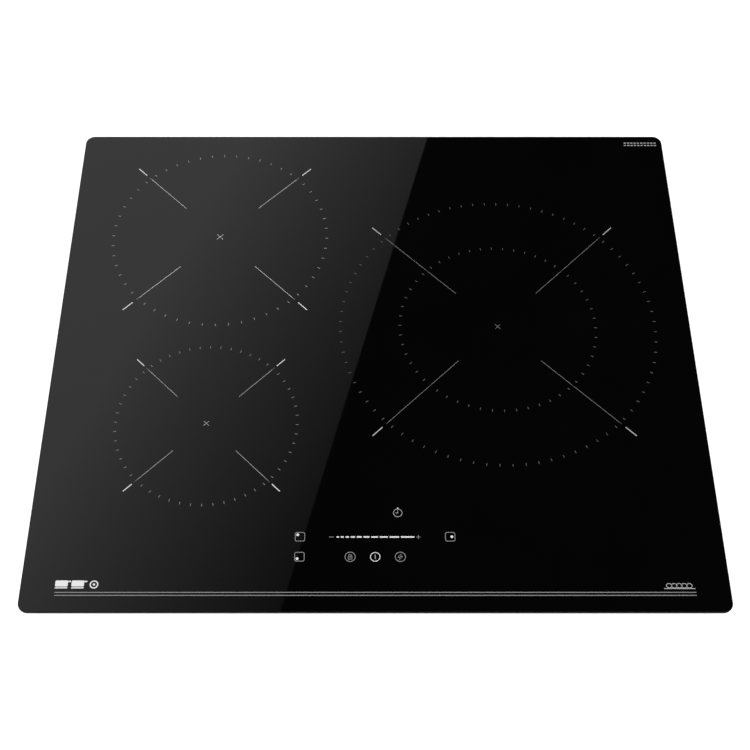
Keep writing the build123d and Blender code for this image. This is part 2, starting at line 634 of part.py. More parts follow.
# ---- Lower casing: one bent tray with pads, beads, fan inlet, air outlets and cut-outs ----
MOUTH_WIDTH = COVER_WIDTH + 2 * (HINGE_LUG + MOUTH_MARGIN)
CLAMP_POINTS = [(side * CLAMP_X, end * CLAMP_Y) for side, end in CLAMPS.values()]
with BuildPart() as lower_casing:
    with BuildSketch(level(FLOOR_BOTTOM)):
        RectangleRounded(CASING_WIDTH, CASING_DEPTH, CASING_CORNER_RADIUS)
    extrude(amount=WALL_TOP - FLOOR_BOTTOM)
    fillet(lower_casing.faces().sort_by(Axis.Z)[0].edges(), CASING_BEND_RADIUS)
    # Pads and beads are pressed outwards, so they start as solid lumps and are hollowed below.
    with BuildSketch(level(FLOOR_BOTTOM)):
        with Locations(*PAD_CENTRES):
            Circle(PAD_RADIUS)
    extrude(amount=-FLOOR_BOTTOM, taper=PAD_TAPER)
    with BuildSketch(level(FLOOR_BOTTOM)):
        for x, y, length in FLOOR_BEADS:
            with Locations((x, y)):
                SlotOverall(length, BEAD_WIDTH)
    extrude(amount=-BEAD_HEIGHT, taper=BEAD_TAPER)
    for side in (-1, 1):
        with BuildSketch(side_wall(side, z=WALL_BEAD_Z)):
            SlotOverall(SIDE_BEAD_LENGTH, BEAD_WIDTH)
        extrude(amount=BEAD_HEIGHT, taper=BEAD_TAPER)
    with BuildSketch(rear_wall(z=WALL_BEAD_Z, x=REAR_BEAD_X)):
        SlotOverall(REAR_BEAD_LENGTH, BEAD_WIDTH)
    extrude(amount=BEAD_HEIGHT, taper=BEAD_TAPER)
    # The inside of the tray.
    with BuildPart(mode=Mode.SUBTRACT):
        with BuildSketch(level(FLOOR_TOP)):
            RectangleRounded(2 * INSIDE_X, 2 * INSIDE_Y, CASING_CORNER_RADIUS - SHEET)
        extrude(amount=WALL_TOP)
        fillet(faces().sort_by(Axis.Z)[0].edges(), CASING_BEND_RADIUS - SHEET)
    with BuildSketch(level(FLOOR_TOP)):
        with Locations(*PAD_CENTRES):
            Circle(PAD_RADIUS - SHEET)
    extrude(amount=-FLOOR_BOTTOM, taper=PAD_TAPER, mode=Mode.SUBTRACT)
    with BuildSketch(level(FLOOR_TOP)):
        for x, y, length in FLOOR_BEADS:
            with Locations((x, y)):
                SlotOverall(length - 2 * SHEET, BEAD_WIDTH - 2 * SHEET)
    extrude(amount=-BEAD_HEIGHT, taper=BEAD_TAPER, mode=Mode.SUBTRACT)
    for side in (-1, 1):
        with BuildSketch(side_wall(side, z=WALL_BEAD_Z, x=INSIDE_X)):
            SlotOverall(SIDE_BEAD_LENGTH - 2 * SHEET, BEAD_WIDTH - 2 * SHEET)
        extrude(amount=BEAD_HEIGHT, taper=BEAD_TAPER, mode=Mode.SUBTRACT)
    with BuildSketch(rear_wall(z=WALL_BEAD_Z, x=REAR_BEAD_X, y=INSIDE_Y)):
        SlotOverall(REAR_BEAD_LENGTH - 2 * SHEET, BEAD_WIDTH - 2 * SHEET)
    extrude(amount=BEAD_HEIGHT, taper=BEAD_TAPER, mode=Mode.SUBTRACT)
    # Fan inlet: parallel slots that fill a circle.
    with BuildSketch(level(FLOOR_BOTTOM, FAN)):
        rows = int(FAN_INLET_RADIUS / INLET_PITCH)
        for row in range(-rows + 1, rows):
            y = row * INLET_PITCH
            chord = 2 * (FAN_INLET_RADIUS**2 - y**2) ** 0.5
            with Locations((0, y)):
                SlotOverall(chord - INLET_SLOT, INLET_SLOT)
    extrude(amount=SHEET, mode=Mode.SUBTRACT)
    # Air outlets in the front wall and in the floor behind it.
    with BuildSketch(front_wall(z=OUTLET_Z)):
        with GridLocations(OUTLET_PITCH, 0, OUTLET_SLOTS, 1):
            SlotOverall(OUTLET_HEIGHT, OUTLET_SLOT, rotation=90)
    extrude(amount=-SHEET, mode=Mode.SUBTRACT)
    with BuildSketch(level(FLOOR_BOTTOM, (0, FLOOR_OUTLET_Y))):
        with GridLocations(OUTLET_PITCH, 0, OUTLET_SLOTS, 1):
            SlotOverall(FLOOR_OUTLET_LENGTH, OUTLET_SLOT, rotation=90)
    extrude(amount=SHEET, mode=Mode.SUBTRACT)
    # Mouth of the terminal box and hole for the cable bush.
    with BuildSketch(rear_wall()):
        with Locations((-COVER_CENTRE_X, COVER_BOTTOM)):
            Rectangle(MOUTH_WIDTH, MOUTH_HEIGHT, align=(Align.CENTER, Align.MIN))
        with Locations((-CABLE_INLET_X, CABLE_INLET_Z)):
            Circle(BUSH_RADIUS)
    extrude(amount=-SHEET, mode=Mode.SUBTRACT)
    # Screw holes for the rails and the clamps.
    for wall in (front_wall(), rear_wall()):
        with BuildSketch(wall):
            with Locations(*[(x, RAIL_SCREW_Z) for x in END_SCREWS_X]):
                Circle(RAIL_SCREW_RADIUS)
        extrude(amount=-SHEET, mode=Mode.SUBTRACT)
    for side in (-1, 1):
        with BuildSketch(side_wall(side)):
            with Locations(*[(y, RAIL_SCREW_Z) for y in SIDE_SCREWS_Y]):
                Circle(RAIL_SCREW_RADIUS)
        extrude(amount=-SHEET, mode=Mode.SUBTRACT)
    with BuildSketch(level(FLOOR_BOTTOM)):
        with Locations(*CLAMP_POINTS):
            Circle(CLAMP_SCREW_RADIUS + CLAMP_CLEARANCE)
    extrude(amount=SHEET, mode=Mode.SUBTRACT)
finish(lower_casing, "lower_casing")

# ---- Screws through the casing walls into the rails ----
with BuildPart() as casing_screw:
    with BuildSketch():
        Circle(SCREW_HEAD_RADIUS)
    extrude(amount=SCREW_HEAD_HEIGHT)
    fillet(casing_screw.edges().sort_by(Axis.Z)[-1], SCREW_CROWN)
    with BuildSketch():
        Circle(RAIL_SCREW_RADIUS - THREAD_GAP)
    extrude(amount=-SCREW_LENGTH)
    with BuildSketch(Plane.XY.offset(SCREW_HEAD_HEIGHT)):
        Rectangle(CROSS_LENGTH, CROSS_WIDTH)
        Rectangle(CROSS_WIDTH, CROSS_LENGTH)
    extrude(amount=-CROSS_DEPTH, mode=Mode.SUBTRACT)

with BuildPart() as casing_screws:
    for wall in (front_wall(), rear_wall()):
        with Locations(*[wall * Location((x, RAIL_SCREW_Z, 0)) for x in END_SCREWS_X]):
            add(casing_screw.part)
    for side in (-1, 1):
        with Locations(*[side_wall(side) * Location((y, RAIL_SCREW_Z, 0)) for y in SIDE_SCREWS_Y]):
            add(casing_screw.part)
finish(casing_screws, "casing_screws")


# ---- Worktop clamps: flat steel strips that swing out from under the casing ----
def clamp(side, end):
    """One clamp, parked along the side; side is -1 left or 1 right, end is -1 front or 1 rear."""
    pivot = level(CLAMP_TOP, (side * CLAMP_X, end * CLAMP_Y))
    with BuildPart() as strip:
        with BuildSketch(pivot):
            with Locations((0, -end * (CLAMP_REACH - CLAMP_TAIL) / 2)):
                RectangleRounded(CLAMP_WIDTH, CLAMP_REACH + CLAMP_TAIL, CLAMP_CORNER)
            Circle(CLAMP_SCREW_RADIUS + CLAMP_CLEARANCE, mode=Mode.SUBTRACT)
            with Locations((0, -end * (CLAMP_REACH - CLAMP_END_HOLE_INSET))):
                Circle(CLAMP_END_HOLE, mode=Mode.SUBTRACT)
        extrude(amount=-CLAMP_THICKNESS)
        with BuildSketch(pivot.offset(-CLAMP_THICKNESS)):
            with Locations((0, -end * (CLAMP_REACH / 2 - CLAMP_RIB_SHIFT))):
                SlotOverall(*CLAMP_RIB, rotation=90)
        extrude(amount=-CLAMP_RIB_HEIGHT, taper=CLAMP_RIB_TAPER)
    return strip


for corner, (side, end) in CLAMPS.items():
    finish(clamp(side, end), f"{corner}_clamp")

with BuildPart() as clamp_screws:
    with BuildSketch(level(CLAMP_HEAD_TOP)):
        with Locations(*CLAMP_POINTS):
            Circle(CLAMP_HEAD_RADIUS)
    extrude(amount=-CLAMP_HEAD_HEIGHT)
    chamfer(clamp_screws.faces().sort_by(Axis.Z)[: len(CLAMP_POINTS)].edges(), CLAMP_HEAD_CHAMFER)
    with BuildSketch(level(CLAMP_HEAD_TOP)):
        with Locations(*CLAMP_POINTS):
            Circle(CLAMP_SCREW_RADIUS)
    extrude(amount=CLAMP_SCREW_LENGTH)
finish(clamp_screws, "clamp_screws")

with BuildPart() as weld_nuts:
    with BuildSketch(level(FLOOR_TOP)):
        with Locations(*CLAMP_POINTS):
            RegularPolygon(NUT_RADIUS, 6)
            Circle(CLAMP_SCREW_RADIUS + THREAD_GAP, mode=Mode.SUBTRACT)
    extrude(amount=NUT_HEIGHT)
finish(weld_nuts, "weld_nuts")


# ---- Coil carriers: aluminium plates on folded legs ----
def carrier(left, right, front, rear, coils):
    """A plate with a leg and a foot at its front and rear, and round holes under the coils."""
    centre = ((left + right) / 2, (front + rear) / 2)
    leg_width = right - left - 2 * LEG_INSET
    window_pitch = (right - left - 2 * LEG_WINDOW_MARGIN) / LEG_WINDOWS
    with BuildPart() as plate:
        with BuildSketch(level(CARRIER_TOP - CARRIER_SHEET, centre)):
            RectangleRounded(right - left, rear - front, CARRIER_CORNER)
            for (x, y), radius in coils:
                with Locations((x - centre[0], y - centre[1])):
                    with PolarLocations(radius * CARRIER_HOLES_AT, CARRIER_HOLES, 180 / CARRIER_HOLES):
                        Circle(radius * CARRIER_HOLE_SIZE, mode=Mode.SUBTRACT)
        extrude(amount=CARRIER_SHEET)
        for y, outward in ((front, -1), (rear, 1)):
            leg_y = y - outward * CARRIER_SHEET / 2
            foot_y = y + outward * (FOOT_DEPTH - CARRIER_SHEET) / 2
            with BuildSketch(level(FLOOR_TOP, (centre[0], leg_y))):
                Rectangle(leg_width, CARRIER_SHEET)
            extrude(amount=CARRIER_TOP - CARRIER_SHEET - FLOOR_TOP)
            with BuildSketch(level(FLOOR_TOP, (centre[0], foot_y))):
                Rectangle(leg_width, FOOT_DEPTH + CARRIER_SHEET)
                with GridLocations(leg_width - 2 * FOOT_SCREW_INSET, 0, 2, 1):
                    Circle(FOOT_HOLE_RADIUS, mode=Mode.SUBTRACT)
            extrude(amount=CARRIER_SHEET)
            with BuildSketch(front_wall(y=leg_y - outward * CARRIER_SHEET, x=centre[0], z=LEG_WINDOW_Z)):
                with GridLocations(window_pitch, 0, LEG_WINDOWS, 1):
                    RectangleRounded(window_pitch - LEG_WINDOW_BRIDGE, LEG_WINDOW_HEIGHT, LEG_WINDOW_CORNER)
            extrude(amount=2 * CARRIER_SHEET, both=True, mode=Mode.SUBTRACT)
    return plate


left_coils = ((REAR_LEFT, REAR_LEFT_COIL), (FRONT_LEFT, FRONT_LEFT_COIL))
right_coils = ((RIGHT, RIGHT_INNER_COIL),)
finish(carrier(*LEFT_CARRIER, left_coils), "left_coil_carrier")
finish(carrier(*RIGHT_CARRIER, right_coils), "right_coil_carrier")


# ---- Coils: base, ferrite bars, winding, mica and sensor for each zone ----
def coil_base(centre, radius):
    """A disc with a centre hole and slots between the ferrite bars."""
    slots_at = (COIL_HOLE_RADIUS + radius) / 2 + BASE_SLOT_SHIFT
    slot_length = radius - COIL_HOLE_RADIUS - BASE_SLOT_MARGIN
    with BuildPart() as disc:
        with BuildSketch(level(COIL_BASE_BOTTOM, centre)):
            Circle(radius + COIL_RIM)
            Circle(SENSOR_RADIUS + SENSOR_GAP, mode=Mode.SUBTRACT)
            with PolarLocations(slots_at, FERRITES_PER_ZONE, 180 / FERRITES_PER_ZONE):
                SlotOverall(slot_length, BASE_SLOT_WIDTH, mode=Mode.SUBTRACT)
        extrude(amount=COIL_BASE_THICKNESS)
    return disc


def ferrites(centre, inner, outer):
    """Radial bars that close the magnetic path under the winding."""
    with BuildPart() as bars:
        with BuildSketch(level(COIL_BASE_BOTTOM + COIL_BASE_THICKNESS, centre)):
            with PolarLocations((inner + outer) / 2, FERRITES_PER_ZONE):
                Rectangle(outer - inner, FERRITE_WIDTH)
        extrude(amount=FERRITE_HEIGHT)
    return bars


def winding(centre, inner, outer):
    """Turns of pressed litz side by side; each turn is a ring that bites a little into the next."""
    pitch = LITZ_DIAMETER - TURN_BITE
    turns = int((outer - inner) / pitch)
    middle = WINDING_BOTTOM + LITZ_DIAMETER / 2
    with BuildPart() as coil:
        with BuildSketch(Plane(origin=(*centre, middle), x_dir=(1, 0, 0), z_dir=(0, -1, 0))):
            for turn in range(turns):
                with Locations(Location((inner + LITZ_DIAMETER / 2 + turn * pitch, 0), 180 / LITZ_SIDES)):
                    RegularPolygon(LITZ_DIAMETER / 2, LITZ_SIDES, major_radius=False)
        revolve(axis=Axis((*centre, 0), (0, 0, 1)))
    return coil


def mica(centre, radius):
    """The insulating disc between a winding and the plate."""
    with BuildPart() as sheet:
        with BuildSketch(level(MICA_BOTTOM, centre)):
            Circle(radius + MICA_RIM)
            Circle(SENSOR_RADIUS + SENSOR_GAP, mode=Mode.SUBTRACT)
        extrude(amount=MICA_THICKNESS)
    return sheet


COIL_ZONES = {
    "rear_left": (REAR_LEFT, REAR_LEFT_COIL),
    "front_left": (FRONT_LEFT, FRONT_LEFT_COIL),
    "right": (RIGHT, RIGHT_OUTER_COIL),
}
for zone, (centre, radius) in COIL_ZONES.items():
    finish(coil_base(centre, radius), f"{zone}_coil_base")
    finish(ferrites(centre, COIL_HOLE_RADIUS + FERRITE_INSET, radius), f"{zone}_ferrites")
    finish(mica(centre, radius), f"{zone}_mica")
finish(winding(REAR_LEFT, COIL_HOLE_RADIUS, REAR_LEFT_COIL), "rear_left_winding")
finish(winding(FRONT_LEFT, COIL_HOLE_RADIUS, FRONT_LEFT_COIL), "front_left_winding")
finish(winding(RIGHT, COIL_HOLE_RADIUS, RIGHT_INNER_COIL), "right_inner_winding")
finish(winding(RIGHT, RIGHT_OUTER_COIL_FROM, RIGHT_OUTER_COIL), "right_outer_winding")

with BuildPart() as temperature_sensors:
    with BuildSketch(level(COIL_BASE_BOTTOM)):
        with Locations(REAR_LEFT, FRONT_LEFT, RIGHT):
            Circle(SENSOR_RADIUS)
    extrude(amount=PLATE_BOTTOM - COIL_BASE_BOTTOM)
    with BuildSketch(level(COIL_BASE_BOTTOM + COIL_BASE_THICKNESS)):
        with Locations(REAR_LEFT, FRONT_LEFT, RIGHT):
            Circle(SENSOR_RADIUS + SENSOR_FLANGE)
    extrude(amount=SENSOR_FLANGE_HEIGHT)
finish(temperature_sensors, "temperature_sensors")


# ---- Springs that press the coils against the plate ----
def spring(radius, wire, height, turns):
    """A helical spring that stands just clear of the XY plane and of the plane at the given height."""
    rise = height - wire - 2 * SPRING_GAP
    with BuildPart() as coil:
        with BuildLine():
            start = (0, 0, wire / 2 + SPRING_GAP)
            path = Helix(pitch=rise / turns, height=rise, radius=radius, center=start)
        with BuildSketch(Plane(origin=path @ 0, z_dir=path % 0)):
            Circle(wire / 2)
        sweep(path=path)
    return coil


coil_spring = spring(COIL_SPRING_RADIUS, COIL_SPRING_WIRE, COIL_BASE_BOTTOM - CARRIER_TOP, COIL_SPRING_TURNS)
with BuildPart() as coil_springs:
    for centre, radius in COIL_SPRING_CIRCLES:
        with Locations((*centre, CARRIER_TOP)):
            with PolarLocations(radius, COIL_SPRINGS_PER_ZONE, 90):
                add(coil_spring.part)
finish(coil_springs, "coil_springs")

# ---- Board tray and power board ----
BOSS_SPAN = (BOARD_SIZE[0] - 2 * BOSS_INSET, BOARD_SIZE[1] - 2 * BOSS_INSET)
with BuildPart() as board_tray:
    with BuildSketch(level(FLOOR_TOP, BOARD)):
        RectangleRounded(*TRAY_SIZE, TRAY_CORNER)
    extrude(amount=TRAY_TOP - FLOOR_TOP)
    with BuildSketch(level(FLOOR_TOP + TRAY_FLOOR, BOARD)):
        inside = (TRAY_SIZE[0] - 2 * TRAY_WALL, TRAY_SIZE[1] - 2 * TRAY_WALL)
        RectangleRounded(*inside, TRAY_CORNER - TRAY_WALL)
    extrude(amount=TRAY_TOP - FLOOR_TOP, mode=Mode.SUBTRACT)
    with BuildSketch(level(FLOOR_TOP, BOARD)):
        with GridLocations(BOSS_SPAN[0] / 3, BOSS_SPAN[1] / 2, 4, 3):
            Circle(BOSS_RADIUS)
    extrude(amount=BOARD_BOTTOM - FLOOR_TOP)
    with BuildSketch(level(BOARD_BOTTOM, BOARD)):
        with GridLocations(*BOSS_SPAN, 2, 2):
            Circle(BOSS_HOLE_RADIUS)
    extrude(amount=-BOSS_HOLE_DEPTH, mode=Mode.SUBTRACT)
finish(board_tray, "board_tray")

with BuildPart() as power_board:
    with BuildSketch(level(BOARD_BOTTOM, BOARD)):
        RectangleRounded(*BOARD_SIZE, BOARD_CORNER)
        with GridLocations(*BOSS_SPAN, 2, 2):
            Circle(BOSS_HOLE_RADIUS, mode=Mode.SUBTRACT)
    extrude(amount=BOARD_THICKNESS)
finish(power_board, "power_board")

# ---- Heat sink: a base with fins along the air stream ----
with BuildPart() as heat_sink:
    with BuildSketch(level(BOARD_TOP, HEAT_SINK)):
        Rectangle(*HEAT_SINK_SIZE)
    extrude(amount=HEAT_SINK_BASE)
    with BuildSketch(level(BOARD_TOP, HEAT_SINK)):
        with GridLocations(0, (HEAT_SINK_SIZE[1] - FIN_THICKNESS) / (FIN_COUNT - 1), 1, FIN_COUNT):
            Rectangle(HEAT_SINK_SIZE[0], FIN_THICKNESS)
    extrude(amount=HEAT_SINK_TOP - BOARD_TOP)
finish(heat_sink, "heat_sink")

TRANSISTOR_ROW = (HEAT_SINK[0], HEAT_SINK[1] + HEAT_SINK_SIZE[1] / 2 + TRANSISTOR_SIZE[1] / 2)
with BuildPart() as power_transistors:
    with BuildSketch(level(BOARD_TOP + LEAD_HEIGHT, TRANSISTOR_ROW)):
        with GridLocations(TRANSISTOR_PITCH, 0, TRANSISTORS, 1):
            Rectangle(*TRANSISTOR_SIZE)
    extrude(amount=TRANSISTOR_HEIGHT)
    with BuildSketch(level(BOARD_TOP, TRANSISTOR_ROW)):
        with GridLocations(TRANSISTOR_PITCH, 0, TRANSISTORS, 1):
            with GridLocations(LEAD_PITCH, 0, TRANSISTOR_LEADS, 1):
                Rectangle(*LEAD_SIZE)
    extrude(amount=LEAD_HEIGHT)
finish(power_transistors, "power_transistors")

# ---- Capacitors, choke and connectors ----
with BuildPart() as resonance_capacitors:
    with BuildSketch(level(BOARD_TOP, RESONANCE_AT)):
        with GridLocations(0, RESONANCE_PITCH, 1, RESONANCE_COUNT):
            RectangleRounded(*RESONANCE_SIZE, CAPACITOR_CORNER)
    extrude(amount=CAPACITOR_HEIGHT)
    fillet(resonance_capacitors.faces().sort_by(Axis.Z)[-RESONANCE_COUNT:].edges(), CAPACITOR_EDGE)
finish(resonance_capacitors, "resonance_capacitors")

with BuildPart() as smoothing_capacitors:
    with BuildSketch(level(BOARD_TOP, SMOOTHING_AT)):
        with GridLocations(SMOOTHING_PITCH, 0, SMOOTHING_COUNT, 1):
            RectangleRounded(*SMOOTHING_SIZE, CAPACITOR_CORNER)
    extrude(amount=CAPACITOR_HEIGHT)
    fillet(smoothing_capacitors.faces().sort_by(Axis.Z)[-SMOOTHING_COUNT:].edges(), CAPACITOR_EDGE)
finish(smoothing_capacitors, "smoothing_capacitors")

with BuildPart() as mains_choke:
    with BuildSketch(Plane(origin=(*CHOKE, CHOKE_MIDDLE), x_dir=(1, 0, 0), z_dir=(0, -1, 0))):
        with Locations((CHOKE_RING_RADIUS, 0)):
            RectangleRounded(*CHOKE_SECTION, CHOKE_SECTION_CORNER)
    revolve(axis=Axis((*CHOKE, 0), (0, 0, 1)))
    with BuildSketch(level(BOARD_TOP, CHOKE)):
        Circle(CHOKE_FOOT_RADIUS)
        Circle(CHOKE_FOOT_HOLE, mode=Mode.SUBTRACT)
    extrude(amount=CHOKE_FOOT_HEIGHT)
finish(mains_choke, "mains_choke")

with BuildPart() as board_connectors:
    with BuildSketch(level(BOARD_TOP, CONNECTORS_AT)):
        with GridLocations(0, CONNECTOR_PITCH, 1, CONNECTORS):
            Rectangle(*CONNECTOR_SIZE)
            with Locations((CONNECTOR_SOCKET_SHIFT, 0)):
                Rectangle(*CONNECTOR_SOCKET, mode=Mode.SUBTRACT)
    extrude(amount=CONNECTOR_HEIGHT)
    with BuildSketch(level(BOARD_TOP, CONNECTORS_AT)):
        with GridLocations(0, CONNECTOR_PITCH, 1, CONNECTORS):
            Rectangle(*CONNECTOR_SIZE)
    extrude(amount=CONNECTOR_FLOOR)
finish(board_connectors, "board_connectors")

# ---- Radial fan ----
FAN_LUG_PLACES = PolarLocations(FAN_BODY_RADIUS + FAN_LUG_REACH, FAN_LUGS, FAN_LUG_START)
FAN_LUG_POINTS = [(place.position.X, place.position.Y) for place in FAN_LUG_PLACES]
FAN_OUTLET = (FAN[0] - FAN_OUTLET_LENGTH / 2, FAN[1] - FAN_BODY_RADIUS + FAN_OUTLET_WIDTH / 2)
with BuildPart() as fan_housing:
    with BuildSketch(level(FLOOR_TOP)):
        with Locations(FAN):
            Circle(FAN_BODY_RADIUS)
        with Locations(FAN_OUTLET):
            Rectangle(FAN_OUTLET_LENGTH, FAN_OUTLET_WIDTH)
    extrude(amount=FAN_TOP - FLOOR_TOP)
    with BuildSketch(level(FLOOR_TOP + FAN_WALL)):
        with Locations(FAN):
            Circle(FAN_BODY_RADIUS - FAN_WALL)
        with Locations((FAN_OUTLET[0] - FAN_WALL, FAN_OUTLET[1])):
            Rectangle(FAN_OUTLET_LENGTH, FAN_OUTLET_WIDTH - 2 * FAN_WALL)
    extrude(amount=FAN_TOP - FLOOR_TOP - 2 * FAN_WALL, mode=Mode.SUBTRACT)
    with BuildSketch(level(FLOOR_TOP, FAN)):
        Circle(FAN_INLET_RADIUS)
    extrude(amount=FAN_WALL, mode=Mode.SUBTRACT)
    with BuildSketch(level(FLOOR_TOP, FAN)):
        with Locations(*FAN_LUG_POINTS):
            Circle(FAN_LUG_RADIUS)
    extrude(amount=FAN_LUG_HEIGHT)
    with BuildSketch(level(FLOOR_TOP, FAN)):
        with Locations(*FAN_LUG_POINTS):
            Circle(FAN_LUG_HOLE)
        Circle(SHAFT_RADIUS)
    extrude(amount=FAN_TOP, mode=Mode.SUBTRACT)
finish(fan_housing, "fan_housing")

SHAFT_BOTTOM = ROTOR_BOTTOM + HUB_LIFT + HUB_SKIN
with BuildPart() as fan_shaft:
    with BuildSketch(level(SHAFT_BOTTOM, FAN)):
        Circle(SHAFT_RADIUS)
    extrude(amount=FAN_TOP - SHAFT_BOTTOM)
finish(fan_shaft, "fan_shaft")

with BuildPart() as fan_rotor:
    with BuildSketch(level(ROTOR_BOTTOM + HUB_LIFT, FAN)):
        Circle(HUB_RADIUS)
    extrude(amount=ROTOR_PLATE_Z - ROTOR_BOTTOM - HUB_LIFT)
    chamfer(fan_rotor.faces().sort_by(Axis.Z)[0].edges(), HUB_CHAMFER)
    with BuildSketch(level(ROTOR_PLATE_Z, FAN)):
        Circle(ROTOR_RADIUS)
    extrude(amount=ROTOR_PLATE)
    with BuildSketch(level(ROTOR_BOTTOM + BLADE_LIFT, FAN)):
        with PolarLocations(ROTOR_RADIUS - BLADE_CHORD / 2, ROTOR_BLADES):
            Rectangle(BLADE_CHORD, BLADE_THICKNESS, rotation=BLADE_ANGLE)
    extrude(amount=ROTOR_PLATE_Z - ROTOR_BOTTOM - BLADE_LIFT)
    with BuildSketch(level(ROTOR_BOTTOM, FAN)):
        Circle(ROTOR_RADIUS)
        Circle(ROTOR_RADIUS - BLADE_CHORD, mode=Mode.SUBTRACT)
    extrude(amount=ROTOR_RING)
    with BuildSketch(level(SHAFT_BOTTOM - SHAFT_END_GAP, FAN)):
        Circle(SHAFT_RADIUS + SHAFT_CLEARANCE)
    extrude(amount=FAN_TOP, mode=Mode.SUBTRACT)
finish(fan_rotor, "fan_rotor")

# ---- Screws of the coil carriers, the fan and the power board ----
# Each row is x, y, where the screw ends and where its head sits.
screw_rows = []
for left, right, front, rear in (LEFT_CARRIER, RIGHT_CARRIER):
    for x in (left + LEG_INSET + FOOT_SCREW_INSET, right - LEG_INSET - FOOT_SCREW_INSET):
        for y in (front - (FOOT_DEPTH - CARRIER_SHEET) / 2, rear + (FOOT_DEPTH - CARRIER_SHEET) / 2):
            screw_rows.append((x, y, FLOOR_TOP, FLOOR_TOP + CARRIER_SHEET))
for x, y in FAN_LUG_POINTS:
    screw_rows.append((FAN[0] + x, FAN[1] + y, FLOOR_TOP, FLOOR_TOP + FAN_LUG_HEIGHT))
for corner in GridLocations(*BOSS_SPAN, 2, 2):
    x, y = BOARD[0] + corner.position.X, BOARD[1] + corner.position.Y
    screw_rows.append((x, y, BOARD_BOTTOM - BOSS_HOLE_DEPTH, BOARD_TOP))

with BuildPart() as base_screws:
    for x, y, end, seat in screw_rows:
        with BuildSketch(level(seat, (x, y))):
            Circle(BASE_SCREW_HEAD_RADIUS)
        extrude(amount=BASE_SCREW_HEAD_HEIGHT)
        with BuildSketch(level(end, (x, y))):
            Circle(BASE_SCREW_RADIUS)
        extrude(amount=seat - end)
finish(base_screws, "base_screws")

# ---- Touch controls under the plate ----
with BuildPart() as control_holder:
    with BuildSketch(level(HOLDER_BOTTOM, HOLDER)):
        RectangleRounded(*HOLDER_SIZE, HOLDER_CORNER)
    extrude(amount=HOLDER_TOP - HOLDER_BOTTOM)
    with BuildSketch(level(HOLDER_BOTTOM + HOLDER_FLOOR, HOLDER)):
        inside = (HOLDER_SIZE[0] - 2 * HOLDER_WALL, HOLDER_SIZE[1] - 2 * HOLDER_WALL)
        RectangleRounded(*inside, HOLDER_CORNER - HOLDER_WALL)
    extrude(amount=HOLDER_TOP, mode=Mode.SUBTRACT)
    boss_span = [size - 2 * inset for size, inset in zip(HOLDER_SIZE, HOLDER_BOSS_INSETS)]
    with BuildSketch(level(HOLDER_BOTTOM, HOLDER)):
        with GridLocations(*boss_span, 3, 2):
            Circle(HOLDER_BOSS_RADIUS)
    extrude(amount=TOUCH_BOARD_BOTTOM - HOLDER_BOTTOM)
    with BuildSketch(level(FLOOR_TOP, HOLDER)):
        with GridLocations(boss_span[0], 0, 2, 1):
            RectangleRounded(*HOLDER_LEG, HOLDER_LEG_CORNER)
    extrude(amount=HOLDER_BOTTOM - FLOOR_TOP)
    # Notch for the ribbon cable in the rear wall.
    with BuildSketch(level(HOLDER_BOTTOM + HOLDER_FLOOR, (RIBBON_X, HOLDER[1] + HOLDER_SIZE[1] / 2))):
        Rectangle(RIBBON_WIDTH + 2 * RIBBON_NOTCH_GAP, 4 * HOLDER_WALL)
    extrude(amount=HOLDER_TOP, mode=Mode.SUBTRACT)
finish(control_holder, "control_holder")

with BuildPart() as touch_board:
    with BuildSketch(level(TOUCH_BOARD_BOTTOM, HOLDER)):
        outline = [size - 2 * (HOLDER_WALL + TOUCH_BOARD_GAP) for size in HOLDER_SIZE]
        RectangleRounded(*outline, HOLDER_CORNER - HOLDER_WALL)
    extrude(amount=BOARD_THICKNESS)
finish(touch_board, "touch_board")

KEYS = (*ZONE_KEYS, TIMER_KEY, LOCK_KEY, POWER_KEY, BOOST_KEY)
key_spring = spring(KEY_SPRING_RADIUS, KEY_SPRING_WIRE, PLATE_BOTTOM - TOUCH_BOARD_TOP, KEY_SPRING_TURNS)
with BuildPart() as key_springs:
    with Locations(*[(x, y, TOUCH_BOARD_TOP) for x, y in KEYS]):
        add(key_spring.part)
finish(key_springs, "key_springs")

with BuildPart() as slider_electrode:
    with BuildSketch(level(TOUCH_BOARD_TOP, (0, SLIDER_Y))):
        RectangleRounded(*ELECTRODE_SIZE, ELECTRODE_CORNER)
    extrude(amount=PLATE_BOTTOM - TOUCH_BOARD_TOP)
finish(slider_electrode, "slider_electrode")

with BuildPart() as indicator_lights:
    with BuildSketch(level(TOUCH_BOARD_TOP)):
        with Locations(*LIGHTS):
            Rectangle(*LIGHT_SIZE)
    extrude(amount=LIGHT_HEIGHT)
finish(indicator_lights, "indicator_lights")

# ---- Ribbon cable from the touch board down to the power board ----
RIBBON_UPPER_Z = TOUCH_BOARD_TOP + RIBBON_THICKNESS / 2
RIBBON_LOWER_Z = BOARD_TOP + RIBBON_THICKNESS / 2
with BuildPart() as ribbon_cable:
    with BuildSketch(Plane(origin=(RIBBON_X, 0, 0), x_dir=(0, 1, 0), z_dir=(1, 0, 0))):
        with BuildLine():
            run = FilletPolyline(
                (RIBBON_STARTS_Y, RIBBON_UPPER_Z),
                (RIBBON_FALLS_Y, RIBBON_UPPER_Z),
                (RIBBON_LANDS_Y, RIBBON_LOWER_Z),
                (RIBBON_ENDS_Y, RIBBON_LOWER_Z),
                radius=RIBBON_BEND,
            )
            offset(amount=RIBBON_THICKNESS / 2, side=Side.BOTH)
        make_face()
    extrude(amount=RIBBON_WIDTH / 2, both=True)
finish(ribbon_cable, "ribbon_cable")

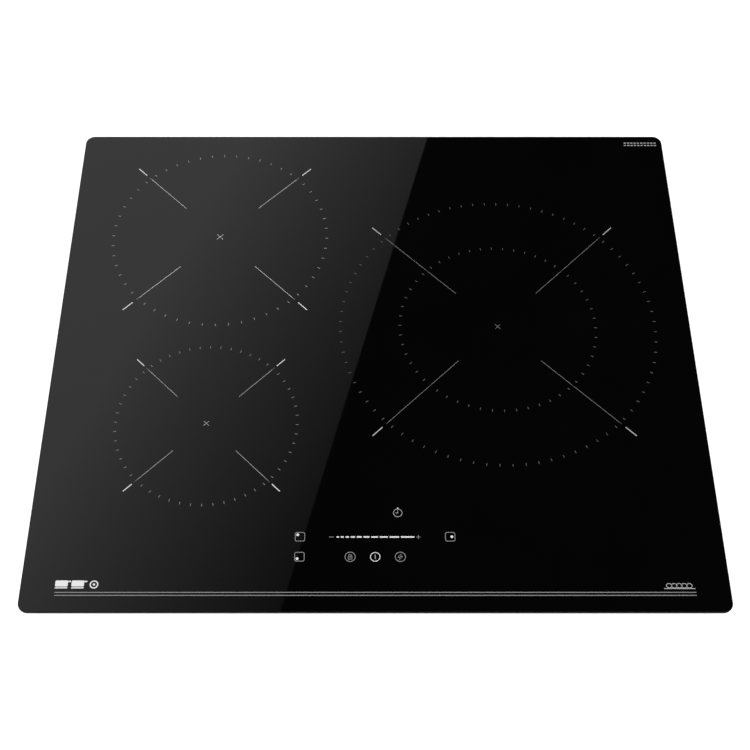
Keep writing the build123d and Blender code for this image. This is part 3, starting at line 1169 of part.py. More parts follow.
# ---- Terminal box with the hinge lugs of its cover ----
TERMINAL_DEPTH = TERMINAL_REAR_Y - TERMINAL_FRONT_Y
TERMINAL_CENTRE = (TERMINAL_X, (TERMINAL_FRONT_Y + TERMINAL_REAR_Y) / 2)
with BuildPart() as terminal_box:
    with BuildSketch(level(FLOOR_TOP, TERMINAL_CENTRE)):
        Rectangle(TERMINAL_WIDTH, TERMINAL_DEPTH)
    extrude(amount=TERMINAL_TOP - FLOOR_TOP)
    with BuildSketch(level(FLOOR_TOP + TERMINAL_WALL, TERMINAL_CENTRE)):
        Rectangle(TERMINAL_WIDTH - 2 * TERMINAL_WALL, TERMINAL_DEPTH - 2 * TERMINAL_WALL)
    extrude(amount=TERMINAL_TOP - FLOOR_TOP - 2 * TERMINAL_WALL, mode=Mode.SUBTRACT)
    rear_foot = terminal_box.edges().filter_by(Axis.X).group_by(Axis.Z)[0].sort_by(Axis.Y)[-1]
    chamfer(rear_foot, FOOT_CHAMFER)
    with BuildSketch(rear_wall(y=TERMINAL_REAR_Y)):
        with Locations((-COVER_CENTRE_X, COVER_BOTTOM + TERMINAL_MOUTH_RISE)):
            mouth_width = COVER_WIDTH - 2 * TERMINAL_MOUTH_INSET
            Rectangle(mouth_width, TERMINAL_MOUTH_HEIGHT, align=(Align.CENTER, Align.MIN))
        with Locations((-CABLE_INLET_X, CABLE_INLET_Z)):
            Circle(BUSH_RADIUS)
    extrude(amount=-TERMINAL_WALL, mode=Mode.SUBTRACT)
    for side in (-1, 1):
        lug_x = COVER_CENTRE_X + side * (COVER_WIDTH / 2 + 2 * HINGE_CLEARANCE + HINGE_LUG / 2)
        with BuildSketch(side_wall(1, x=lug_x, y=HINGE_Y, z=HINGE_Z)):
            Circle(HINGE_BARREL_RADIUS)
            Rectangle(HINGE_Y - TERMINAL_REAR_Y, 2 * HINGE_BARREL_RADIUS, align=(Align.MAX, Align.CENTER))
            Circle(HINGE_PIN_RADIUS + HINGE_CLEARANCE, mode=Mode.SUBTRACT)
        extrude(amount=HINGE_LUG / 2, both=True)
finish(terminal_box, "terminal_box")

# ---- Terminal cover: a flap on two pins, with a thumb lip and ribs for grip ----
with BuildPart() as terminal_cover:
    with BuildSketch(rear_wall(x=COVER_CENTRE_X, y=CASING_DEPTH / 2 + COVER_GAP)):
        with Locations((0, COVER_BOTTOM)):
            height = HINGE_Z - COVER_BOTTOM
            RectangleRounded(COVER_WIDTH, height, COVER_CORNER, align=(Align.CENTER, Align.MIN))
    extrude(amount=COVER_THICKNESS)
    with BuildSketch(side_wall(1, x=COVER_CENTRE_X, y=HINGE_Y, z=HINGE_Z)):
        Circle(HINGE_BARREL_RADIUS)
    extrude(amount=COVER_WIDTH / 2, both=True)
    with BuildSketch(side_wall(1, x=COVER_CENTRE_X, y=HINGE_Y, z=HINGE_Z)):
        Circle(HINGE_PIN_RADIUS)
    extrude(amount=COVER_WIDTH / 2 + HINGE_LUG, both=True)
    with BuildSketch(rear_wall(x=COVER_CENTRE_X, y=CASING_DEPTH / 2 + COVER_GAP + COVER_THICKNESS)):
        with Locations((0, COVER_BOTTOM + COVER_LIP_RISE)):
            Rectangle(*COVER_LIP)
        with Locations((0, COVER_BOTTOM + COVER_RIB_RISE)):
            with GridLocations(0, COVER_RIB_PITCH, 1, COVER_RIBS):
                Rectangle(COVER_WIDTH - 2 * COVER_RIB_INSET, COVER_RIB_WIDTH)
    extrude(amount=COVER_RELIEF)
finish(terminal_cover, "terminal_cover")

# ---- Terminal block and its clamping screws ----
with BuildPart() as terminal_block:
    with BuildSketch(level(BLOCK_BOTTOM, BLOCK)):
        Rectangle(*BLOCK_SIZE)
    extrude(amount=BLOCK_HEIGHT)
    with BuildSketch(level(BLOCK_TOP, BLOCK)):
        with GridLocations(BLOCK_PITCH, 0, BLOCK_POLES, 1):
            Circle(WELL_RADIUS)
    extrude(amount=-WELL_DEPTH, mode=Mode.SUBTRACT)
    block_rear_y = BLOCK[1] + BLOCK_SIZE[1] / 2
    with BuildSketch(rear_wall(x=BLOCK[0], y=block_rear_y, z=BLOCK_BOTTOM + WIRE_ENTRY_RISE)):
        with GridLocations(BLOCK_PITCH, 0, BLOCK_POLES, 1):
            RectangleRounded(*WIRE_ENTRY, WIRE_ENTRY_CORNER)
    extrude(amount=-WIRE_ENTRY_DEPTH, mode=Mode.SUBTRACT)
finish(terminal_block, "terminal_block")

with BuildPart() as terminal_screws:
    with BuildSketch(level(BLOCK_TOP - WELL_DEPTH, BLOCK)):
        with GridLocations(BLOCK_PITCH, 0, BLOCK_POLES, 1):
            Circle(TERMINAL_SCREW_RADIUS)
    extrude(amount=TERMINAL_SCREW_HEIGHT)
    with BuildSketch(level(BLOCK_TOP - WELL_DEPTH + TERMINAL_SCREW_HEIGHT, BLOCK)):
        with GridLocations(BLOCK_PITCH, 0, BLOCK_POLES, 1):
            Rectangle(*TERMINAL_SLOT)
    extrude(amount=-TERMINAL_SLOT_DEPTH, mode=Mode.SUBTRACT)
finish(terminal_screws, "terminal_screws")

# ---- Cable bush ----
with BuildPart() as cable_bush:
    with BuildSketch(rear_wall(x=CABLE_INLET_X, z=CABLE_INLET_Z, y=BUSH_START_Y)):
        Circle(BUSH_RADIUS - BUSH_GAP)
    extrude(amount=BUSH_END_Y - BUSH_START_Y)
    with BuildSketch(rear_wall(x=CABLE_INLET_X, z=CABLE_INLET_Z)):
        Circle(BUSH_FLANGE_RADIUS)
    extrude(amount=BUSH_FLANGE)
    fillet(cable_bush.faces().sort_by(Axis.Y)[-1].edges(), BUSH_EDGE)
    with BuildSketch(rear_wall(x=CABLE_INLET_X, z=CABLE_INLET_Z, y=BUSH_START_Y)):
        Circle(CABLE_INLET_RADIUS)
    extrude(amount=BUSH_END_Y, mode=Mode.SUBTRACT)
finish(cable_bush, "cable_bush")
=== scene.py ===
import json
import math

import bmesh
import bpy
from mathutils import Matrix, Vector


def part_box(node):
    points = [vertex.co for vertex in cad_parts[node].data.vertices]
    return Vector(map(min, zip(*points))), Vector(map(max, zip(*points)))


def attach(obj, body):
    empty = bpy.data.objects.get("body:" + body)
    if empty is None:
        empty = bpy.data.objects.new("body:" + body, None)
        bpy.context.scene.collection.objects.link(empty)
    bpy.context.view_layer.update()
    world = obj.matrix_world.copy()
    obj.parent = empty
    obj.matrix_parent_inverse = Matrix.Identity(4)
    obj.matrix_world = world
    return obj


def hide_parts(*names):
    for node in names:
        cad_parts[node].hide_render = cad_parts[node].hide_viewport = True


# Looks for a built-in induction hob. Metres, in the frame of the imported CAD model.

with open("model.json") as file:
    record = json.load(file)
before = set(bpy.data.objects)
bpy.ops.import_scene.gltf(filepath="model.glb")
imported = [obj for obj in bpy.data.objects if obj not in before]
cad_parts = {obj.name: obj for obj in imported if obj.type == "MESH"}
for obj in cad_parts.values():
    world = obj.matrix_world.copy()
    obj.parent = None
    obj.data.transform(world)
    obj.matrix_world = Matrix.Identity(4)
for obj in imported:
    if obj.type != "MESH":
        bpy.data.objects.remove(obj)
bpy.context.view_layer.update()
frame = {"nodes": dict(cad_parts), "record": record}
nodes = frame["nodes"]

# ---- Places taken from the frame ----
MM = 0.001
plate_low, plate_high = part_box("glass_plate")
PLATE_WIDTH = plate_high.x - plate_low.x
PLATE_DEPTH = plate_high.y - plate_low.y
PLATE_TOP = plate_high.z
PLATE_BOTTOM = plate_low.z
PRINT_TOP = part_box("key_symbols_print")[1].z

# ---- Camera: long lens, looking down at the hob from in front ----
LENS = 63.88
SENSOR = 36.0
LOOK_DOWN = math.radians(57.87)
CAMERA_PLACE = Vector((-0.0072, -0.6758, PLATE_TOP + 1.0287))
CAMERA_SHIFT = 0.0111
CLIP_START = 0.05
CLIP_END = 60.0


def make_camera():
    """The camera of the picture."""
    data = bpy.data.cameras.new("camera")
    data.lens = LENS
    data.sensor_width = SENSOR
    data.shift_x = CAMERA_SHIFT
    data.clip_start = CLIP_START
    data.clip_end = CLIP_END
    camera = bpy.data.objects.new("camera", data)
    camera.location = CAMERA_PLACE
    camera.rotation_euler = (math.pi / 2 - LOOK_DOWN, 0, 0)
    bpy.context.scene.collection.objects.link(camera)
    bpy.context.scene.camera = camera


# ---- Node helpers ----
# Sockets of a Mix node that mixes colours.
MIX_SHARE, MIX_FIRST, MIX_SECOND, MIX_RESULT = 0, 6, 7, 2


class Shader:
    """Builds one procedural material round a Principled BSDF."""

    def __init__(self, name):
        self.material = bpy.data.materials.new(name)
        self.material.use_nodes = True
        self.tree = self.material.node_tree
        self.surface = self.tree.nodes["Principled BSDF"]
        self.place = self.tree.nodes.new("ShaderNodeTexCoord")

    def node(self, kind, **settings):
        """A new node; a setting goes to the input of that name, or else to the property."""
        made = self.tree.nodes.new(kind)
        for key, value in settings.items():
            if key in made.inputs:
                made.inputs[key].default_value = value
            else:
                setattr(made, key, value)
        return made

    def link(self, source, target):
        """Joins an output to an input."""
        self.tree.links.new(source, target)

    def stretched(self, scale):
        """Object coordinates, stretched by scale along X, Y and Z."""
        mapping = self.node("ShaderNodeMapping", Scale=scale)
        self.link(self.place.outputs["Object"], mapping.inputs["Vector"])
        return mapping.outputs["Vector"]

    def noise(self, scale, detail=3.0, stretch=(1, 1, 1), rough=0.5):
        """Cloudy noise from 0 to 1."""
        made = self.node("ShaderNodeTexNoise", Scale=scale, Detail=detail, Roughness=rough)
        self.link(self.stretched(stretch), made.inputs["Vector"])
        return made.outputs["Fac"]

    def cells(self, scale, output="Color"):
        """Voronoi cells: a random colour for each, or the distance to its middle."""
        made = self.node("ShaderNodeTexVoronoi", Scale=scale)
        self.link(self.stretched((1, 1, 1)), made.inputs["Vector"])
        return made.outputs[output]

    def ramp(self, source, low, high, start=0.3, end=0.7):
        """A colour from low to high as source goes from start to end."""
        made = self.node("ShaderNodeValToRGB")
        made.color_ramp.elements[0].position = start
        made.color_ramp.elements[0].color = (*low, 1)
        made.color_ramp.elements[1].position = end
        made.color_ramp.elements[1].color = (*high, 1)
        self.link(source, made.inputs["Fac"])
        return made.outputs["Color"]

    def span(self, source, low, high, start=0.3, end=0.7):
        """A value from low to high as source goes from start to end."""
        made = self.node("ShaderNodeMapRange")
        limits = {"From Min": start, "From Max": end, "To Min": low, "To Max": high}
        for key, value in limits.items():
            made.inputs[key].default_value = value
        self.link(source, made.inputs["Value"])
        return made.outputs["Result"]

    def product(self, first, second):
        """One colour multiplied by another."""
        made = self.node("ShaderNodeMix", data_type="RGBA", blend_type="MULTIPLY")
        made.inputs[MIX_SHARE].default_value = 1.0
        self.link(first, made.inputs[MIX_FIRST])
        self.link(second, made.inputs[MIX_SECOND])
        return made.outputs[MIX_RESULT]

    def scaled(self, source, factor, offset):
        """A value times a factor plus an offset; the offset may be another node's output."""
        made = self.node("ShaderNodeMath", operation="MULTIPLY_ADD")
        self.link(source, made.inputs[0])
        made.inputs[1].default_value = factor
        if isinstance(offset, float):
            made.inputs[2].default_value = offset
        else:
            self.link(offset, made.inputs[2])
        return made.outputs[0]

    def bump(self, source, strength, distance):
        """Raises the surface a little where source is high."""
        made = self.node("ShaderNodeBump", Strength=strength, Distance=distance)
        self.link(source, made.inputs["Height"])
        self.link(made.outputs["Normal"], self.surface.inputs["Normal"])

    def colour(self, source):
        """Base colour from a node."""
        self.link(source, self.surface.inputs["Base Color"])

    def roughness(self, source):
        """Roughness from a node."""
        self.link(source, self.surface.inputs["Roughness"])

    def set(self, **values):
        """Even values on the surface; an underscore stands for a space in the input's name."""
        for key, value in values.items():
            self.surface.inputs[key.replace("_", " ")].default_value = value


def tone(colour, factor):
    """A colour made darker or lighter."""
    return tuple(min(1.0, part * factor) for part in colour)


def grey(level):
    """A neutral colour."""
    return (level, level, level)


# ---- Materials ----
GLASS_IOR = 1.5
ENAMEL_IOR = 1.45
PLASTIC_IOR = 1.48
ENAMEL_GRAIN = 900.0
ENAMEL_DARKEST = 0.9


def glass_ceramic():
    """Polished black glass-ceramic: a mirror-like skin over a body that swallows light."""
    made = Shader("black_glass_ceramic")
    made.colour(made.ramp(made.noise(9.0, detail=4.0), grey(0.0002), (0.0005, 0.0005, 0.0006)))
    made.roughness(made.span(made.noise(26.0, detail=5.0), 0.012, 0.03))
    made.set(IOR=GLASS_IOR)
    return made.material


def ground_edge(name, dark, light, gloss):
    """The ground rim of the plate, under a frosted skin; given light colours, as on the lower bevel,
    its colour is a painted highlight.
    """
    made = Shader(name)
    made.colour(made.ramp(made.noise(300.0, detail=4.0), dark, light))
    made.roughness(made.span(made.noise(700.0), 0.20, 0.32))
    made.set(IOR=GLASS_IOR, Specular_IOR_Level=gloss)
    return made.material


def satin(made):
    """The slightly uneven satin skin of fired enamel."""
    made.roughness(made.span(made.noise(400.0), 0.38, 0.55))
    made.set(IOR=ENAMEL_IOR)


def enamel(name, level):
    """Fired enamel of an even grey, slightly mottled."""
    made = Shader(name)
    darkest = tone(grey(level), ENAMEL_DARKEST)
    made.colour(made.ramp(made.noise(ENAMEL_GRAIN), darkest, grey(level)))
    satin(made)
    return made.material


def graded_enamel(name, centre, steps):
    """Enamel whose tone depends on the distance from a point; steps are (distance, tone) pairs."""
    made = Shader(name)
    distance = made.node("ShaderNodeVectorMath", operation="DISTANCE")
    distance.inputs[1].default_value = centre
    made.link(made.place.outputs["Object"], distance.inputs[0])
    far = steps[-1][0] + ZONE_MARGIN
    share = made.node("ShaderNodeMath", operation="DIVIDE")
    share.inputs[1].default_value = far
    made.link(distance.outputs["Value"], share.inputs[0])
    tones = made.node("ShaderNodeValToRGB")
    tones.color_ramp.interpolation = "CONSTANT"
    elements = tones.color_ramp.elements
    elements.remove(elements[1])
    elements[0].position = 0.0
    elements[0].color = (*grey(steps[0][1]), 1)
    for reach, level in steps[1:]:
        elements.new(reach / far).color = (*grey(level), 1)
    made.link(share.outputs[0], tones.inputs["Fac"])
    mottle = made.ramp(made.noise(ENAMEL_GRAIN), grey(ENAMEL_DARKEST), grey(1.0))
    made.colour(made.product(tones.outputs["Color"], mottle))
    satin(made)
    return made.material


def galvanised():
    """Hot-dip galvanised sheet: small zinc spangles that differ a little, and fine rolling lines."""
    made = Shader("galvanised_sheet")
    spangle = made.node("ShaderNodeSeparateColor")
    made.link(made.cells(120.0), spangle.inputs["Color"])
    shade, gloss = spangle.outputs[0], spangle.outputs[1]
    flakes = made.ramp(shade, (0.40, 0.41, 0.43), (0.50, 0.51, 0.53), start=0.0, end=1.0)
    clouds = made.ramp(made.noise(14.0, detail=4.0), (0.90, 0.90, 0.91), grey(1.0))
    made.colour(made.product(flakes, clouds))
    made.roughness(made.span(gloss, 0.30, 0.42, start=0.0, end=1.0))
    made.bump(made.noise(160.0, stretch=(1, 1, 6)), strength=0.08, distance=0.6 * MM)
    made.set(Metallic=1.0)
    return made.material


def zinc(name, colour, scale=300.0):
    """Plated or rolled small metal: bright, with faint clouds and fine scratches."""
    made = Shader(name)
    made.colour(made.ramp(made.noise(scale, detail=4.0), tone(colour, 0.82), colour))
    made.roughness(made.span(made.noise(scale * 3, detail=2.0, stretch=(1, 6, 1)), 0.24, 0.42))
    made.bump(made.noise(scale * 5, detail=2.0), strength=0.05, distance=0.2 * MM)
    made.set(Metallic=1.0)
    return made.material


def aluminium():
    """Mill-finish sheet with rolling lines along Y."""
    made = Shader("mill_aluminium")
    lines = made.noise(60.0, detail=6.0, stretch=(12, 0.5, 12), rough=0.7)
    made.colour(made.ramp(lines, (0.66, 0.67, 0.68), (0.84, 0.85, 0.86)))
    made.roughness(made.span(lines, 0.28, 0.44))
    made.bump(lines, strength=0.06, distance=0.3 * MM)
    made.set(Metallic=1.0)
    return made.material


def plastic(name, colour, rough=0.5, grain=1400.0):
    """Moulded plastic with a fine eroded grain."""
    made = Shader(name)
    made.colour(made.ramp(made.noise(35.0, detail=4.0), tone(colour, 0.86), tone(colour, 1.08)))
    made.roughness(made.span(made.noise(grain / 8), rough - 0.06, rough + 0.08))
    made.bump(made.noise(grain, detail=2.0), strength=0.12, distance=0.2 * MM)
    made.set(IOR=PLASTIC_IOR)
    return made.material


def foam():
    """Closed-cell foam tape: dark, dull and pitted."""
    made = Shader("foam_tape")
    pits = made.cells(1100.0, output="Distance")
    made.colour(made.ramp(pits, (0.010, 0.010, 0.011), (0.035, 0.035, 0.037), start=0.1))
    made.bump(pits, strength=0.5, distance=0.5 * MM)
    made.set(Roughness=0.92)
    return made.material


def copper():
    """Enamelled litz: strands that wind round each turn."""
    made = Shader("copper_litz")
    wave = made.node("ShaderNodeTexWave", Scale=260.0, Distortion=2.0, Detail=2.0)
    wave.bands_direction = "DIAGONAL"
    made.link(made.place.outputs["Object"], wave.inputs["Vector"])
    strands = wave.outputs["Fac"]
    made.colour(made.ramp(strands, (0.36, 0.13, 0.05), (0.78, 0.38, 0.18), start=0.1, end=0.9))
    made.bump(strands, strength=0.4, distance=0.4 * MM)
    made.roughness(made.span(made.noise(200.0), 0.28, 0.45))
    made.set(Metallic=0.85)
    return made.material


def mineral(name, dark, light, scale, rough):
    """Sintered or pressed mineral: speckled and matt."""
    made = Shader(name)
    made.colour(made.ramp(made.cells(scale), dark, light, start=0.1, end=0.9))
    made.roughness(made.span(made.noise(scale), rough - 0.08, rough + 0.08))
    made.bump(made.noise(scale * 2), strength=0.2, distance=0.3 * MM)
    return made.material


def circuit_board():
    """Green solder mask over a faint pattern of tracks."""
    made = Shader("circuit_board")
    tracks = made.node("ShaderNodeTexBrick", Scale=70.0, Bias=-0.2)
    tracks.inputs["Mortar Size"].default_value = 0.06
    tracks.inputs["Color1"].default_value = (0.012, 0.115, 0.045, 1)
    tracks.inputs["Color2"].default_value = (0.016, 0.140, 0.055, 1)
    tracks.inputs["Mortar"].default_value = (0.006, 0.070, 0.028, 1)
    made.link(made.place.outputs["Object"], tracks.inputs["Vector"])
    made.colour(tracks.outputs["Color"])
    made.bump(tracks.outputs["Fac"], strength=0.15, distance=0.2 * MM)
    made.roughness(made.span(made.noise(120.0), 0.25, 0.4))
    return made.material


GLASS = glass_ceramic()
GLASS_EDGE = ground_edge("ground_glass_edge", grey(0.004), (0.009, 0.009, 0.010), gloss=0.08)
# The bevel's light grey is a painted highlight: the black glass edge is made light so that it shows
# as a bright rim.
GLASS_BEVEL_PAINTED_HIGHLIGHT = ground_edge("glass_bevel_painted_highlight", grey(0.15), (0.22, 0.22, 0.23), gloss=0.5)
PRINT_BRIGHT = enamel("print_bright", 0.60)
PRINT_DIM = enamel("print_dim", 0.21)
PRINT_SMALL = enamel("print_small", 0.34)
PRINT_LINE = enamel("print_line", 0.19)
SLOT_MATERIALS = {
    "glass_ceramic": GLASS,
    "enamel_print": PRINT_LINE,
    "foam_seal": foam(),
    "adhesive": plastic("cured_silicone", (0.03, 0.03, 0.032), rough=0.6, grain=500.0),
    "galvanised_steel": galvanised(),
    "zinc_screw": zinc("zinc_plate", (0.74, 0.75, 0.77)),
    "spring_steel": zinc("zinc_strip", (0.66, 0.67, 0.70), scale=120.0),
    "aluminium_sheet": aluminium(),
    "coil_plastic": plastic("coil_plastic", (0.055, 0.055, 0.058), rough=0.6),
    "ferrite": mineral("ferrite", (0.035, 0.035, 0.038), (0.075, 0.075, 0.08), 900.0, rough=0.7),
    "copper_litz": copper(),
    "mica": mineral("mica", (0.42, 0.36, 0.26), (0.66, 0.60, 0.48), 140.0, rough=0.45),
    "sensor_metal": mineral("alumina", (0.68, 0.66, 0.61), (0.80, 0.78, 0.73), 700.0, rough=0.4),
    "fan_plastic": plastic("fan_plastic", (0.020, 0.020, 0.022), rough=0.42),
    "board_green": circuit_board(),
    "tray_plastic": plastic("tray_plastic", (0.60, 0.60, 0.58)),
    "capacitor_blue": plastic("capacitor_blue", (0.03, 0.10, 0.30), rough=0.3),
    "component_black": plastic("component_black", (0.018, 0.018, 0.019), rough=0.48),
    "connector_white": plastic("connector_white", (0.66, 0.65, 0.60), rough=0.42),
    "ribbon_grey": plastic("ribbon_grey", (0.32, 0.33, 0.35)),
    "terminal_plastic": plastic("terminal_plastic", (0.022, 0.022, 0.024), rough=0.46, grain=900.0),
    "brass_terminal": zinc("brass", (0.78, 0.58, 0.26), scale=400.0),
    "led_amber": plastic("led_lens", (0.72, 0.70, 0.62), rough=0.2),
}

# ---- Zone prints ----
# Radii of the dashed rings, and the tones of cross, fine line, ring ticks and bold line ends.
RINGS = {
    "rear_left": (104.0 * MM,),
    "front_left": (81.2 * MM,),
    "right": (91.4 * MM, 147.0 * MM),
}
# The zones' tones are painted light and shade: lightest at the rear left, darker at the front left,
# darkest on the right.
ZONE_TONES_WITH_PAINTED_LIGHT = {
    "rear_left": (0.60, 0.57, 0.24, 0.60),
    "front_left": (0.36, 0.37, 0.16, 0.53),
    "right": (0.16, 0.19, 0.08, 0.36),
}
CROSS_REACH = 10 * MM
TICK_HALF = 1.6 * MM
BOLD_START = 4 * MM
ZONE_MARGIN = 10 * MM


def zone_centre(zone):
    """Centre of a printed zone, on the plate."""
    low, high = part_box(f"{zone}_zone_print")
    return (low + high) / 2


def zone_enamel_with_painted_light(zone):
    """Enamel of one zone: the ticks of its rings are faint, the ends of its diagonals are bold; its
    overall tone is painted light, lighter towards the rear left of the plate and darker to the
    right.
    """
    cross, fine, tick, bold = ZONE_TONES_WITH_PAINTED_LIGHT[zone]
    steps = [(0.0, cross), (CROSS_REACH, fine)]
    for ring in RINGS[zone]:
        steps.append((ring - TICK_HALF, tick))
        steps.append((ring + TICK_HALF, fine))
    steps.append((RINGS[zone][-1] + BOLD_START, bold))
    return graded_enamel(f"{zone}_enamel", zone_centre(zone), steps)


def dress_frame():
    """Gives every CAD node the material of its slot, and each zone print its own."""
    own = {f"{zone}_zone_print": zone_enamel_with_painted_light(zone) for zone in RINGS}
    for row in frame["record"]["subparts"]:
        name = row["node"]
        materials = nodes[name].data.materials
        materials.clear()
        materials.append(own.get(name, SLOT_MATERIALS[row["material_slot"]]))


# ---- Finer meshes for the plate, the key symbols, the slider and the corner marks ----
def piece(name, mesh, materials, replaced):
    """Turns a bmesh into a piece that rides on the hob in place of a CAD node."""
    data = bpy.data.meshes.new(name)
    mesh.to_mesh(data)
    mesh.free()
    made = bpy.data.objects.new(name, data)
    for material in materials:
        data.materials.append(material)
    bpy.context.scene.collection.objects.link(made)
    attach(made, "hob")
    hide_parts(replaced)


def rounded_loop(centre, width, depth, radius, steps=8):
    """Points of a rounded rectangle, anticlockwise."""
    points = []
    for quarter, (across, along) in enumerate(((1, 1), (-1, 1), (-1, -1), (1, -1))):
        x = centre[0] + across * (width / 2 - radius)
        y = centre[1] + along * (depth / 2 - radius)
        for step in range(steps + 1):
            angle = math.pi / 2 * (quarter + step / steps)
            points.append((x + radius * math.cos(angle), y + radius * math.sin(angle)))
    return points


def circle(centre, radius, steps=40, squeeze=1.0):
    """Points of a circle, or of an ellipse with its height squeezed."""
    turns = [2 * math.pi * step / steps for step in range(steps)]
    x, y = centre[0], centre[1]
    return [(x + radius * math.cos(turn), y + squeeze * radius * math.sin(turn)) for turn in turns]


def arc(centre, radius, start, end, steps=12):
    """Points of an arc between two angles in degrees."""
    turns = [math.radians(start + (end - start) * step / steps) for step in range(steps + 1)]
    return [(centre[0] + radius * math.cos(t), centre[1] + radius * math.sin(t)) for t in turns]


PLATE_CORNER = 9.0 * MM
EDGE_TOP_RADIUS = 0.8 * MM
EDGE_BOTTOM_RADIUS = 2.4 * MM
EDGE_STEPS = 6
CORNER_STEPS = 24
# Material slots of the plate; the bevel slot holds a light grey that is a painted highlight on the
# black glass.
EDGE, BEVEL = 1, 2


def plate_profile():
    """(inset, height over the underside) pairs of the rounded edge, from the underside up."""
    thickness = PLATE_TOP - PLATE_BOTTOM
    below = (EDGE_BOTTOM_RADIUS, EDGE_BOTTOM_RADIUS, -90)
    above = (EDGE_TOP_RADIUS, thickness - EDGE_TOP_RADIUS, 0)
    rows = []
    for radius, middle, start in (below, above):
        for step in range(EDGE_STEPS + 1):
            angle = math.radians(start + 90 * step / EDGE_STEPS)
            rows.append((radius * (1 - math.cos(angle)), middle + radius * math.sin(angle)))
    return rows


def make_plate():
    """The glass-ceramic plate with its rounded, finely ground edge; its lower bevel carries a
    painted highlight.
    """
    mesh = bmesh.new()
    centre = ((plate_low.x + plate_high.x) / 2, (plate_low.y + plate_high.y) / 2)
    rings = []
    for inset, height in plate_profile():
        width, depth = PLATE_WIDTH - 2 * inset, PLATE_DEPTH - 2 * inset
        outline = rounded_loop(centre, width, depth, PLATE_CORNER - inset, CORNER_STEPS)
        rings.append([mesh.verts.new((x, y, PLATE_BOTTOM + height)) for x, y in outline])
    count = len(rings[0])
    for step, (lower, upper) in enumerate(zip(rings, rings[1:])):
        for here in range(count):
            there = (here + 1) % count
            band = mesh.faces.new((lower[here], lower[there], upper[there], upper[here]))
            band.smooth = True
            band.material_index = BEVEL if step < EDGE_STEPS else EDGE
    mesh.faces.new(rings[-1])
    mesh.faces.new(list(reversed(rings[0])))
    for flat in (rings[0], rings[-1]):
        for here in range(count):
            mesh.edges.get((flat[here], flat[(here + 1) % count])).smooth = False
    materials = (GLASS, GLASS_EDGE, GLASS_BEVEL_PAINTED_HIGHLIGHT)
    piece("glass_ceramic_plate", mesh, materials, "glass_plate")


# Materials of the drawn prints, and their slots.
PRINTS = (PRINT_BRIGHT, PRINT_DIM, PRINT_SMALL)
BRIGHT, FAINT, MIDDLE = 0, 1, 2
# Least squared length of a mitre's normal, which keeps sharp corners from running out.
MITRE_LEAST = 0.2


class Relief:
    """Flat drawn shapes with the thickness of the print, each in one of the three print tones."""

    def __init__(self):
        self.mesh = bmesh.new()

    def raised(self, points):
        """Vertices of an outline on the plate, and the same on top of the print."""
        low = [self.mesh.verts.new((x, y, PLATE_TOP)) for x, y in points]
        high = [self.mesh.verts.new((x, y, PRINT_TOP)) for x, y in points]
        return low, high

    def face(self, corners, slot):
        """One face in one of the print tones."""
        self.mesh.faces.new(corners).material_index = slot

    def wall(self, low, high, closed, slot):
        """Upright faces along an outline."""
        for here in range(len(low) if closed else len(low) - 1):
            there = (here + 1) % len(low)
            self.face((low[here], low[there], high[there], high[here]), slot)

    def filled(self, points, slot=BRIGHT):
        """A filled convex outline, anticlockwise."""
        low, high = self.raised(points)
        self.wall(low, high, True, slot)
        self.face(high, slot)
        self.face(list(reversed(low)), slot)

    def stroke(self, points, width, closed=False, slot=BRIGHT):
        """A line of even width along points, with mitred corners."""
        left_low, left_high = self.raised(shifted(points, width / 2, closed))
        right_low, right_high = self.raised(shifted(points, -width / 2, closed))
        for here in range(len(points) if closed else len(points) - 1):
            there = (here + 1) % len(points)
            self.face((left_high[there], left_high[here], right_high[here], right_high[there]), slot)
            self.face((left_low[here], left_low[there], right_low[there], right_low[here]), slot)
        self.wall(list(reversed(left_low)), list(reversed(left_high)), closed, slot)
        self.wall(right_low, right_high, closed, slot)
        if not closed:
            self.face((left_low[0], right_low[0], right_high[0], left_high[0]), slot)
            self.face((left_high[-1], right_high[-1], right_low[-1], left_low[-1]), slot)


def shifted(points, distance, closed):
    """Points moved sideways by distance; positive is to the left of the direction of travel."""
    moved = []
    count = len(points)
    for here, point in enumerate(points):
        before = points[here - 1] if closed or here else None
        after = points[(here + 1) % count] if closed or here < count - 1 else None
        normals = []
        for start, end in ((before, point), (point, after)):
            if start is not None and end is not None:
                along = Vector((end[0] - start[0], end[1] - start[1])).normalized()
                normals.append(Vector((-along.y, along.x)))
        normal = sum(normals, Vector((0, 0))) / len(normals)
        normal *= distance / max(normal.length_squared, MITRE_LEAST)
        moved.append((point[0] + normal.x, point[1] + normal.y))
    return moved


def placed(centre, *points):
    """Points given in millimetres from a centre."""
    return [(centre[0] + x * MM, centre[1] + y * MM) for x, y in points]


def corners_of(places):
    """Lowest and highest corner of the box round some places."""
    low = Vector([min(place[axis] for place in places) for axis in range(3)])
    high = Vector([max(place[axis] for place in places) for axis in range(3)])
    return low, high


WELD_DISTANCE = 0.001 * MM


def islands(node):
    """(centre, size) of each separate stretch of a CAD node, from left to right."""
    mesh = bmesh.new()
    mesh.from_mesh(nodes[node].data)
    mesh.transform(nodes[node].matrix_world)
    bmesh.ops.remove_doubles(mesh, verts=mesh.verts, dist=WELD_DISTANCE)
    left = set(mesh.verts)
    found = []
    while left:
        growing = [left.pop()]
        members = []
        while growing:
            vertex = growing.pop()
            members.append(vertex.co.copy())
            for edge in vertex.link_edges:
                other = edge.other_vert(vertex)
                if other in left:
                    left.remove(other)
                    growing.append(other)
        low, high = corners_of(members)
        found.append(((low + high) / 2, high - low))
    mesh.free()
    return sorted(found, key=lambda spot: tuple(spot[0]))


